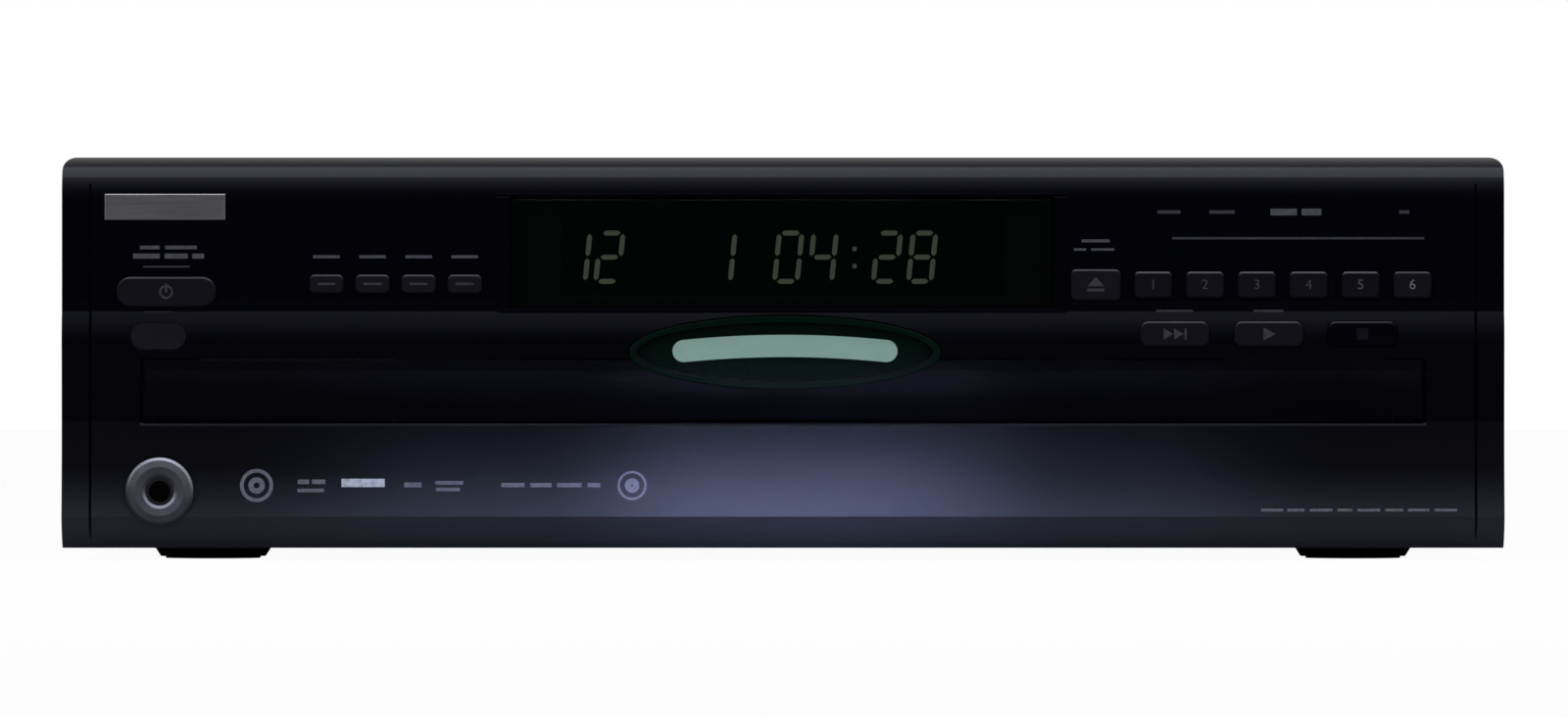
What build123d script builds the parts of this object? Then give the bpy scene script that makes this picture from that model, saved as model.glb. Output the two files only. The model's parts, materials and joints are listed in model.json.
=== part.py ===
from build123d import *
import math
import os

# A six-disc carousel player for a hi-fi shelf: a flat black box whose whole middle is one wide drawer.
# The drawer carries a round carousel with six disc wells. Behind the drawer's centre a pickup unit
# tilts up through the rear well, lifts the disc off its seat and holds it against a clamp in a bridge.
# Millimetres. +Z is up, the front faces -Y, and the origin is on the table under the middle of the box.
# The sizes run from the inside out: discs, wells, carousel, drawer, rails, case.

# Discs and carousel
disc_d = 120.0            # large disc
small_disc_d = 80.0       # small disc, which has its own lower seat
wells = 6
well_gap = 1.4            # on the disc's diameter
well_wall = 1.2           # thinnest wall between two wells
well_depth = 3.5          # deck down to the large seat
small_depth = 1.6         # large seat down to the small seat
moulding_t = 2.0          # walls of the carousel and the drawer
carousel_rim = 1.7        # outside the wells
rim_skirt = 6.9           # how far the outer skirt hangs under the deck
hub_r = 59.0              # raised middle of the carousel
hub_rise = 3.4
window_r = 21.0           # round part of each well's window, over the disc table
window_w = 40.0           # wide part of the window, over the pickup
window_reach = 49.0       # how far the wide part runs from the disc's centre
lens_slot_w = 22.0        # narrow end of the window, over the lens alone
lens_slot_reach = 64.0

# Heights
foot_h = 10.0
floor_t = 1.0             # steel sheet of the base
under_drawer = 32.5       # room under the drawer
cup_clearance = 3.3       # drawer floor to the lowest cup of the carousel
opening_h = 18.9          # drawer opening in the front panel
opening_drop = 1.7        # opening's lower edge under the drawer's floor
band_h = 14.2             # curved band over the drawer
display_zone_h = 35.1     # flat zone with the display window
top_r = 11.5              # rounded top edge of the front panel
skirt_z = 3.5             # lower edge of the front panel

# Drawer and its rails
frame_gap = 2.0           # carousel to the drawer's round wall
frame_wall = 1.6
tongue_w = 4.6            # sliding tongue on each side
tongue_t = 2.4
tongue_z = 8.5            # tongue above the drawer's underside
side_gap = 0.8            # tongue to the edge of the opening
slide_gap = 0.4           # tongue to its groove
frame_tail = 155.0        # side walls run this far behind the carousel's centre
travel = 240.0            # how far the drawer comes out
rail_t = 1.6
column_w = 23.5           # case beside the drawer opening

# Depths
lip_out = 3.0             # lower band stands this far in front of the panel
panel_wall = 3.2
front_stack = 3.4         # panel's inner face to the drawer's round wall
fascia_depth = 18.0
rear_gap = 29.8           # drawer to the rear panel
rear_t = 1.0
jack_len = 8.0            # how far the sockets stand out behind
cover_t = 0.8

# Derived places
well_d = disc_d + well_gap
well_ring_r = (well_d + well_wall) / (2 * math.sin(math.pi / wells))
carousel_r = well_ring_r + well_d / 2 + carousel_rim
bore_r = carousel_r + frame_gap
frame_half = bore_r + frame_wall
opening_half = frame_half + tongue_w + side_gap
half_width = opening_half + column_w
depth = lip_out + panel_wall + front_stack + 2 * bore_r + frame_wall + rear_gap + rear_t + jack_len

front_y = -depth / 2
panel_y = front_y + lip_out
inner_y = panel_y + panel_wall
fascia_back = front_y + fascia_depth
carousel_y = inner_y + front_stack + bore_r
disc_y = carousel_y + well_ring_r
rear_y = carousel_y + frame_half + rear_gap
rear_face = rear_y + rear_t
frame_front = inner_y + front_stack - moulding_t
tail_y = carousel_y + frame_tail

floor_z = foot_h + floor_t
frame_z = floor_z + under_drawer
frame_floor_z = frame_z + moulding_t
cup_z = frame_floor_z + cup_clearance
seat_z = cup_z + moulding_t + small_depth
deck_z = seat_z + well_depth
opening_z0 = frame_z - opening_drop
opening_z1 = opening_z0 + opening_h
band_z1 = opening_z1 + band_h
flat_z1 = band_z1 + display_zone_h
height = flat_z1 + top_r

# Teeth, in parts of the module or the pitch; thin enough to leave play
tip_rise = 0.75
root_drop = 1.15
root_half = 0.25
tip_half = 0.11

# Case and covers
cover_half = half_width - 2.5
cover_top = height - 1.0
pan_half = cover_half - cover_t - 0.2
pan_front = inner_y + 0.3
flange_h = 20.0
screw_r = 1.5
front_foot_y = front_y + 42.0
rear_foot_y = rear_y - 38.0
foot_x = half_width - 44.0
groove_x = half_width - 8.6
boss_x = half_width - 16.5
rear_screw_x = half_width - 27.5

# Front controls: centre X, centre Z, width, height, corner radius, how far the cap stands out
board_y = inner_y + 7.6
board_t = 1.6
switch_h = 3.5
press = 0.8
key_gap = 0.25
window_x, window_z, window_size = -0.3, band_z1 + 17.7, (164.0, 33.6)
window_left = window_x - window_size[0] / 2
window_right = window_x + window_size[0] / 2
row_z = band_z1 + 8.0
low_row_z = opening_z1 + 7.4
keys = {
    "standby_button": (31.5 - half_width, band_z1 + 5.9, 30.0, 9.0, 4.2, 1.2),
    "open_button": (window_right + 12.6, row_z, 15.0, 9.4, 1.6, 1.2),
    "skip_button": (window_right + 36.4, low_row_z, 20.8, 7.6, 2.4, 2.4),
    "play_button": (window_right + 64.7, low_row_z, 20.8, 7.6, 2.4, 2.4),
    "stop_button": (window_right + 93.0, low_row_z, 20.8, 7.6, 2.4, 2.4),
}
for n in range(4):
    keys[f"mode_button_{n + 1}"] = (window_left - 55.4 + 13.9 * n, row_z + 0.3, 10.4, 5.6, 1.6, 1.1)
for n in range(wells):
    keys[f"disc_button_{n + 1}"] = (window_right + 29.9 + 15.64 * n, row_z, 11.4, 8.0, 1.4, 1.2)
sensor_x, sensor_z, sensor_size = 29.1 - half_width, opening_z1 + 6.7, (16.8, 8.2)
phones_x, phones_z = 29.6 - half_width, foot_h + 10.6
phones_r = 7.6
phones_ring_r = 10.2

# Oval and its light on the drawer's front
oval_x, oval_z, oval_a, oval_b = 0.6, opening_z1 + 1.8, 47.0, 11.0
light_r = 300.0           # curve of the light's middle line
light_turn = 11.7         # degrees of that curve
light_t = 6.7
light_z = oval_z + 2.0    # middle line at its highest
front_half = opening_half - 0.5
front_end_r = 3.0         # rounding of the drawer's two ends
sill_r = 1.9              # rounded edge of the opening under the drawer
front_z0 = opening_z0 + 0.5
front_z1 = opening_z1 - 0.5

# Drawer drive on the right
rack_x = frame_half + 1.8
drive_module = 1.2
drive_teeth = 15
drive_x = rack_x + drive_teeth * drive_module / 2
drive_y = fascia_back + 19.0
step_teeth = 25
idler_teeth = 12
idler_dx = 16.4
idler_dy = math.sqrt(((step_teeth + idler_teeth) / 2) ** 2 - idler_dx ** 2)
idler_x = drive_x - idler_dx
idler_y = drive_y + idler_dy
idler_angle = math.degrees(math.atan2(idler_dy, -idler_dx))
motor_x = idler_x - 43.0
pulley_r = 14.0
motor_pulley_r = 4.0
belt_z = 32.0

# Carousel drive inside the hub
ring_teeth = 48
pinion_teeth = 12
ring_module = 2.0
pinion_y = carousel_y - (ring_teeth - pinion_teeth) * ring_module / 2
post_r = 6.0

# Pickup unit, drawn level as it plays and then swung down to where it is parked
lift = 10.0
arm = 92.0                # pivot to the disc's centre
pivot_y = disc_y - arm
pivot_z = 38.0
mech_half = 28.0
mech_wall = 1.6
mech_z0 = 35.0
mech_z1 = 45.0
mech_front = pivot_y - 10.0
mech_back = disc_y + 18.0
table_z = 55.0            # where the lifted disc lies
sled_home = 24.0          # lens from the disc's centre when parked
sled_travel = 34.0
sled_module = 0.75
sled_teeth = 16
sled_rack_x = 12.6
sled_gear_x = sled_rack_x + sled_teeth * sled_module / 2
sled_gear_y = disc_y - 60.0
rods = (-14.0, 8.0)
rod_z = 39.5
mech_nose_z = 41.3        # top near the pivot, under the drawer when parked

# Places behind
core_x, core_y = 57.5 - half_width, rear_y - 38.0
inlet_x, inlet_z = 29.5 - half_width, floor_z + 23.0
jack_xs = (half_width - 97.5, half_width - 79.5)
jack_zs = (70.0, 88.0)
board_x0, board_x1 = 31.5 - half_width, -mech_half - 18.0
board_y0, board_y1 = fascia_back + 84.0, core_y - 81.0


def block(x0, x1, y0, y1, z0, z1):
    """Box between two corners, in either order."""
    middle = Pos((x0 + x1) / 2, (y0 + y1) / 2, (z0 + z1) / 2)
    return middle * Box(abs(x1 - x0), abs(y1 - y0), abs(z1 - z0))


def post(x, y, z0, z1, r):
    """Upright cylinder."""
    return Pos(x, y, (z0 + z1) / 2) * Cylinder(r, z1 - z0)


def rod_x(y, z, x0, x1, r):
    return Pos((x0 + x1) / 2, y, z) * Rot(0, 90, 0) * Cylinder(r, abs(x1 - x0))


def rod_y(x, z, y0, y1, r):
    return Pos(x, (y0 + y1) / 2, z) * Rot(90, 0, 0) * Cylinder(r, abs(y1 - y0))


def upright(sketch, y0, y1):
    """Sketch drawn as seen from the front, in X and Z, made solid from y0 back to y1."""
    return extrude(Plane(origin=(0, y1, 0), x_dir=(1, 0, 0), z_dir=(0, -1, 0)) * sketch, y1 - y0)


def flat(sketch, z0, z1):
    """Sketch drawn from above, made solid from z0 up to z1."""
    return extrude(Pos(0, 0, z0) * sketch, z1 - z0)


def along_x(sketch, x0, x1):
    """Section drawn in Y and Z, made solid from x0 to x1."""
    return extrude(Plane(origin=(x0, 0, 0), x_dir=(0, 1, 0), z_dir=(1, 0, 0)) * sketch, x1 - x0)


def slot_pill(w, h):
    return RectangleRounded(w, h, min(w, h) / 2 - 0.01)


def tooth_points(count, module, middle, inward=False):
    """Outline of a toothed ring with one tooth centred on the angle 'middle', in degrees."""
    radius = count * module / 2
    side = -1 if inward else 1
    tip = radius + side * tip_rise * module
    root = radius - side * root_drop * module
    pitch = math.pi * module
    points = []
    for k in range(count):
        centre = math.radians(middle) + 2 * math.pi * k / count
        for r, half in ((root, -root_half), (tip, -tip_half), (tip, tip_half), (root, root_half)):
            a = centre + half * pitch / radius
            points.append((r * math.cos(a), r * math.sin(a)))
    return points


def toothed(count, module, middle, inward=False):
    return make_face(Polyline(*tooth_points(count, module, middle, inward), close=True))


def rack_teeth(x, y0, y1, module, through_y):
    """Row of teeth facing +X on the pitch line x, with a gap centred on through_y."""
    pitch = math.pi * module
    first = math.ceil((y0 - through_y) / pitch)
    last = math.floor((y1 - through_y) / pitch)
    root_x = x - root_drop * module
    tip_x = x + tip_rise * module
    points = [(root_x - 0.6, through_y + first * pitch)]
    for k in range(first, last):
        y = through_y + (k + 0.5) * pitch
        points.append((root_x, y - root_half * pitch))
        points.append((tip_x, y - tip_half * pitch))
        points.append((tip_x, y + tip_half * pitch))
        points.append((root_x, y + root_half * pitch))
    points.append((root_x - 0.6, through_y + last * pitch))
    return make_face(Polyline(*points, close=True))


def park(shape):
    """Swing a piece of the pickup unit from its playing place down to its parked place."""
    return Pos(0, pivot_y, pivot_z) * Rot(-lift, 0, 0) * Pos(0, -pivot_y, -pivot_z) * shape


def key_cap(x, z, w, h, r, out):
    """Cap with a lip behind the panel and a stem that reaches its switch."""
    cap = upright(Pos(x, z) * RectangleRounded(w, h, r), panel_y - out, inner_y + 0.2)
    cap = chamfer(cap.faces().sort_by(Axis.Y)[0].edges(), 0.5)
    lip = upright(Pos(x, z) * Rectangle(w + 1.6, h + 1.6), inner_y + 0.2, inner_y + 1.0)
    stem = upright(Pos(x, z) * Rectangle(4.0, 3.0), inner_y + 1.0, board_y - switch_h - press - 0.1)
    return cap + lip + stem


def bend(start, end, centre):
    """Arc from start to end around a centre."""
    radius = math.dist(start, centre)
    mx = (start[0] + end[0]) / 2 - centre[0]
    mz = (start[1] + end[1]) / 2 - centre[1]
    reach = radius / math.hypot(mx, mz)
    return ThreePointArc(start, (centre[0] + mx * reach, centre[1] + mz * reach), end)


def bulge(start, end, rise):
    """Shallow arc from start to end that swells towards the front."""
    return ThreePointArc(start, ((start[0] + end[0]) / 2 - rise, (start[1] + end[1]) / 2), end)


def case_front():
    side = make_face(
        Line((fascia_back, height), (panel_y + top_r, height))
        + bend((panel_y + top_r, height), (panel_y, flat_z1), (panel_y + top_r, flat_z1))
        + Line((panel_y, flat_z1), (panel_y, band_z1))
        + bulge((panel_y, band_z1), (panel_y - 1.4, opening_z1), 1.0)
        + Line((panel_y - 1.4, opening_z1), (panel_y - 1.0, opening_z0))
        + bulge((panel_y - 1.0, opening_z0), (front_y, 13.0), -0.7)
        + bulge((front_y, 13.0), (front_y + 7.0, skirt_z), 1.6)
        + Line((front_y + 7.0, skirt_z), (fascia_back, skirt_z))
        + Line((fascia_back, skirt_z), (fascia_back, height))
    )
    shell = along_x(side, -half_width, half_width)
    corners = Pos(0, height / 2 - 5.0) * RectangleRounded(2 * half_width, height + 10.0, 4.0)
    shell = shell & upright(corners, front_y - 1, fascia_back + 1)
    cavity = make_face(
        Line((fascia_back + 1, height - panel_wall), (panel_y + top_r, height - panel_wall))
        + bend((panel_y + top_r, height - panel_wall), (inner_y, flat_z1), (panel_y + top_r, flat_z1))
        + Line((inner_y, flat_z1), (inner_y, skirt_z + panel_wall))
        + Line((inner_y, skirt_z + panel_wall), (fascia_back + 1, skirt_z + panel_wall))
        + Line((fascia_back + 1, skirt_z + panel_wall), (fascia_back + 1, height - panel_wall))
    )
    shell -= along_x(cavity, -half_width + panel_wall, half_width - panel_wall)
    shell -= block(-opening_half, opening_half, front_y - 1, fascia_back + 1, opening_z0, opening_z1)
    sill_y, sill_z = panel_y - 1.0 + sill_r, opening_z0 - sill_r
    corner = Pos(sill_y - 1.5, sill_z + 1.5) * Rectangle(3.0, 3.0) - Pos(sill_y, sill_z) * Circle(sill_r)
    shell -= along_x(corner, -opening_half, opening_half)
    arch = Pos(oval_x, oval_z) * Ellipse(oval_a + 0.6, oval_b + 0.6)
    shell -= upright(arch, front_y - 1, inner_y + 1)
    for sx in (-1, 1):
        shell -= block(sx * groove_x - 0.4, sx * groove_x + 0.4, front_y - 1, panel_y + 0.5, 0, height - 6)
    for x, z, w, h, r, out in keys.values():
        hole = Pos(x, z) * RectangleRounded(w + 2 * key_gap, h + 2 * key_gap, r + key_gap)
        shell -= upright(hole, front_y - 1, inner_y + 1)
    shell -= upright(Pos(window_x, window_z) * Rectangle(*window_size), front_y - 1, inner_y + 1)
    shell -= upright(Pos(sensor_x, sensor_z) * slot_pill(*sensor_size), front_y - 1, inner_y + 1)
    shell -= rod_y(phones_x, phones_z, front_y - 1, inner_y + 1, phones_r)
    shell -= rod_y(phones_x, phones_z, front_y - 1, front_y + 2.0, phones_ring_r + 0.05)
    for x in (-boss_x, -60.0, 60.0, boss_x):
        for z in (flat_z1 + 3.0, band_z1 - 4.9):
            if abs(x) > 100 or z > flat_z1:
                shell += rod_y(x, z, inner_y - 0.1, board_y, 2.6)
    for x in (-180.0, -60.0, 60.0, 180.0):
        shell += block(x - 10, x + 10, inner_y - 0.1, fascia_back - 2, skirt_z + panel_wall - 0.1, foot_h)
    return shell


def front_fittings():
    """Window, display, sensor, socket and the board behind the panel."""
    window = upright(Pos(window_x, window_z) * Rectangle(window_size[0] - 0.2, window_size[1] - 0.2),
                     panel_y - 0.5, inner_y - 0.4)
    window = chamfer(window.faces().sort_by(Axis.Y)[0].edges(), 0.8)
    export_step(window, "parts/display_window.step")

    glass = upright(Pos(window_x, window_z) * Rectangle(134.0, 27.0), inner_y + 0.6, board_y - 1.0)
    glass = chamfer(glass.edges().filter_by(Axis.Y), 1.5)
    pins = block(window_x - 60, window_x + 60, board_y - 1.0, board_y, window_z - 12, window_z - 9)
    export_step(glass + pins, "parts/display_tube.step")

    eye = upright(Pos(sensor_x, sensor_z) * slot_pill(sensor_size[0] - 0.2, sensor_size[1] - 0.2),
                  panel_y - 1.6, inner_y - 0.2)
    export_step(eye, "parts/sensor_window.step")

    board = upright(Pos(0, band_z1 + 15.1) * Rectangle(2 * half_width - 18.0, 50.0), board_y, board_y + board_t)
    for x, z, w, h, r, out in keys.values():
        board += upright(Pos(x, z) * Rectangle(6.0, 6.0), board_y - switch_h + 1.0, board_y)
        board += rod_y(x, z, board_y - switch_h, board_y - switch_h + 1.0, 1.6)
    board += upright(Pos(sensor_x, sensor_z) * Rectangle(7.0, 5.0), board_y - 4.0, board_y)
    board += block(60.0, 92.0, board_y + board_t, board_y + board_t + 5.0, 98.0, 104.0)
    export_step(board, "parts/front_board.step")

    barrel = rod_y(phones_x, phones_z, front_y + 1.0, inner_y + 12.0, phones_r - 0.05)
    ring = rod_y(phones_x, phones_z, front_y - 0.4, front_y + 2.0, phones_ring_r)
    barrel += chamfer(ring.faces().sort_by(Axis.Y)[0].edges(), 0.8)
    barrel += block(phones_x - 8, phones_x + 8, inner_y + 3.0, inner_y + 12.0, floor_z, phones_z - 3.5)
    barrel -= rod_y(phones_x, phones_z, front_y - 1, inner_y + 10.0, 3.25)
    export_step(barrel, "parts/phones_socket.step")


def base_pan():
    pan = block(-pan_half, pan_half, pan_front, rear_y, foot_h, floor_z)
    for sx in (-1, 1):
        pan += block(sx * (pan_half - floor_t), sx * pan_half, fascia_back + 1, rear_y, foot_h, foot_h + flange_h)
        for y in (-120.0, 120.0):
            pan -= rod_x(y, foot_h + 12.0, sx * (pan_half - 3), sx * (pan_half + 1), screw_r + 0.1)
    pan += block(-pan_half, pan_half, fascia_back + 1, fascia_back + 1 + floor_t, foot_h, foot_h + 14.0)
    for x in range(-150, 151, 20):
        if abs(x) > 35:
            pan -= flat(Pos(x, 130.0) * SlotOverall(34.0, 4.0, rotation=90), foot_h - 1, floor_z + 1)
    for x in (-95.0, 95.0):
        for y in (-60.0, 40.0):
            pan += flat(Pos(x, y) * Rectangle(8.0, 70.0), foot_h - 1.2, foot_h)
    for x in (board_x0 + 6, board_x1 - 6):
        for y in (board_y0 + 6, board_y1 - 6):
            pan += post(x, y, floor_z - 0.1, floor_z + 5.0, 3.0)
    return pan


def outer_shell():
    """Folded sheet over the top and both sides."""
    height_z = cover_top - (foot_h + 0.5)
    outline = Pos(0, (cover_top + foot_h + 0.5) / 2) * Rectangle(2 * cover_half, height_z)
    shell = upright(outline, fascia_back, rear_face + 0.6)
    tops = shell.edges().filter_by(Axis.Y).sort_by(Axis.Z)[-2:]
    shell = fillet(tops, 3.0)
    inside = upright(Pos(0, (cover_top - cover_t) / 2) * Rectangle(2 * (cover_half - cover_t), cover_top - cover_t),
                     fascia_back - 1, rear_face + 1.6)
    inside = fillet(inside.edges().filter_by(Axis.Y).sort_by(Axis.Z)[-2:], 2.2)
    shell -= inside
    for x0 in (-170.0, 90.0):
        for k in range(10):
            x = x0 + 9.0 * k
            shell -= block(x, x + 3.2, rear_y - 143.0, rear_y - 93.0, cover_top - 4, cover_top + 1)
            shell -= block(x, x + 3.2, rear_y - 78.0, rear_y - 28.0, cover_top - 4, cover_top + 1)
    for k in range(8):
        y = rear_y - 113.0 + 10.0 * k
        shell -= block(-cover_half - 1, cover_half + 1, y, y + 3.0, 62.0, 92.0)
    for sx in (-1, 1):
        for y in (-120.0, 120.0):
            shell -= rod_x(y, foot_h + 12.0, sx * (cover_half - 3), sx * (cover_half + 1), screw_r)
    return shell


def rear_group():
    panel = block(-pan_half, pan_half, rear_y, rear_face, foot_h, cover_top - cover_t - 0.2)
    panel = fillet(panel.edges().filter_by(Axis.Y).sort_by(Axis.Z)[-2:], 2.4)
    for x in jack_xs:
        for z in jack_zs:
            panel -= rod_y(x, z, rear_y - 1, rear_face + 1, 4.6)
    panel -= upright(Pos(inlet_x, inlet_z) * Rectangle(24.0, 15.0), rear_y - 1, rear_face + 1)
    for k in range(12):
        panel -= block(-60 + 8 * k, -57 + 8 * k, rear_y - 1, rear_face + 1, 70.0, 100.0)
    for x in (-rear_screw_x, 0.0, rear_screw_x):
        panel -= rod_y(x, 114.0, rear_y - 1, rear_face + 1, screw_r)
    export_step(panel, "parts/rear_panel.step")

    jacks = block(jack_xs[0] - 9, jack_xs[1] + 9, rear_y - 14, rear_y, jack_zs[0] - 9, jack_zs[1] + 9)
    for x in jack_xs:
        for z in jack_zs:
            jacks += rod_y(x, z, rear_y - 1, rear_face + jack_len, 4.2)
            jacks += rod_y(x, z, rear_face, rear_face + 2.0, 6.4)
            jacks -= rod_y(x, z, rear_face - 2, rear_face + jack_len + 1, 1.7)
    jacks += block(jack_xs[0] - 9, jack_xs[1] + 9, rear_y - 26, rear_y - 12, jack_zs[0] - 9, jack_zs[0] - 7.4)
    export_step(jacks, "parts/line_sockets.step")

    inlet = upright(Pos(inlet_x, inlet_z) * Rectangle(23.8, 14.8), rear_y - 13, rear_face)
    inlet += upright(Pos(inlet_x, inlet_z) * RectangleRounded(30.0, 20.0, 3.0), rear_face, rear_face + 2.0)
    mouth = Pos(inlet_x, inlet_z) * (Pos(-4.2, 0) * Circle(4.0) + Pos(4.2, 0) * Circle(4.0) + Rectangle(8.4, 6.0))
    inlet -= upright(mouth, rear_y - 11, rear_face + 3)
    for dx in (-4.2, 4.2):
        inlet += rod_y(inlet_x + dx, inlet_z, rear_y - 12, rear_face - 2, 1.2)
    export_step(inlet, "parts/mains_inlet.step")


def power_group():
    x0, x1 = core_x - 32.0, core_x + 32.0
    core = block(x0, x1, core_y - 15, core_y + 15, floor_z + 2.0, floor_z + 56.0)
    core -= block(x0 + 11, core_x - 11, core_y - 16, core_y + 16, floor_z + 13, floor_z + 45)
    core -= block(core_x + 11, x1 - 11, core_y - 16, core_y + 16, floor_z + 13, floor_z + 45)
    core += block(x0 - 10, x1 + 10, core_y - 13, core_y + 13, floor_z, floor_z + 2.0)
    export_step(core, "parts/transformer_core.step")

    coil = block(x0 + 11.3, x1 - 11.3, core_y - 23, core_y + 23, floor_z + 13.3, floor_z + 44.7)
    coil = fillet(coil.edges().filter_by(Axis.Z), 5.0)
    coil -= block(core_x - 11, core_x + 11, core_y - 24, core_y + 24, floor_z + 10, floor_z + 50)
    coil += block(core_x - 11, core_x + 11, core_y - 23, core_y - 15.1, floor_z + 13.3, floor_z + 44.7)
    coil += block(core_x - 11, core_x + 11, core_y + 15.1, core_y + 23, floor_z + 13.3, floor_z + 44.7)
    export_step(coil, "parts/transformer_coil.step")

    top = floor_z + 6.6
    board = block(board_x0, board_x1, board_y0, board_y1, floor_z + 5.0, top)
    x0, x1, y0, y1 = board_x0, board_x1, board_y0, board_y1
    for x, y, w, d, h in ((x0 + 36, y0 + 80, 20, 20, 2.4), (x0 + 71, y0 + 40, 14, 20, 3.2), (x1 - 34, y0 + 90, 28, 10, 3.6),
                          (x1 - 24, y1 - 44, 34, 6, 9.0), (x0 + 26, y1 - 24, 10, 26, 8.0), (x0 + 66, y1 - 74, 9, 4, 3.4)):
        board += block(x - w / 2, x + w / 2, y - d / 2, y + d / 2, top - 0.1, top + h)
    export_step(board, "parts/main_board.step")

    cans = None
    for x, y, r, h in ((x0 + 26, y1 - 64, 6.5, 20), (x0 + 43, y1 - 64, 6.5, 20), (x1 - 80, y1 - 39, 5, 14),
                       (x1 - 64, y1 - 39, 5, 14), (x1 - 49, y1 - 24, 4, 11)):
        can = post(x, y, top, top + h, r)
        can -= post(x, y, top + h - 0.5, top + h + 1, r - 1.0)
        cans = can if cans is None else cans + can
    export_step(cans, "parts/capacitors.step")

    sink = block(x0 + 10, x0 + 52, y0 + 14, y0 + 17, top, top + 22)
    for k in range(8):
        x = x0 + 10.8 + 5.5 * k
        sink += block(x, x + 1.6, y0 + 16.9, y0 + 28, top, top + 22)
    export_step(sink, "parts/heat_sink.step")


def feet():
    shapes = []
    pads = []
    for x in (-foot_x, foot_x):
        for y in (front_foot_y, rear_foot_y):
            cup = make_face(Polyline((0, 1.6), (14.5, 1.6), (14.5, 0.6), (16.0, 0.6), (21.0, 8.4), (21.0, foot_h),
                                     (0, foot_h), close=True))
            shapes.append(Pos(x, y, 0) * revolve(Plane.XZ * cup, Axis.Z))
            pads.append(post(x, y, 0, 1.6, 14.4))
    export_step(shapes[0] + shapes[1] + shapes[2] + shapes[3], "parts/feet.step")
    export_step(pads[0] + pads[1] + pads[2] + pads[3], "parts/foot_pads.step")


def screws():
    heads = None
    for sx in (-1, 1):
        for y in (-120.0, 120.0):
            inner = sx * (pan_half - 2.5)
            outer = sx * (cover_half + 1.6)
            one = rod_x(y, foot_h + 12.0, inner, outer, screw_r)
            one += rod_x(y, foot_h + 12.0, sx * cover_half, outer, 3.4)
            one -= block(outer - 0.8, outer + 0.8, y - 3, y + 3, foot_h + 11.6, foot_h + 12.4)
            heads = one if heads is None else heads + one
    for x in (-rear_screw_x, 0.0, rear_screw_x):
        one = rod_y(x, 114.0, rear_y - 3, rear_face + 1.6, screw_r)
        one += rod_y(x, 114.0, rear_face, rear_face + 1.6, 3.4)
        one -= block(x - 3, x + 3, rear_face + 0.8, rear_face + 3, 113.6, 114.4)
        heads += one
    export_step(heads, "parts/cover_screws.step")


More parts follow.
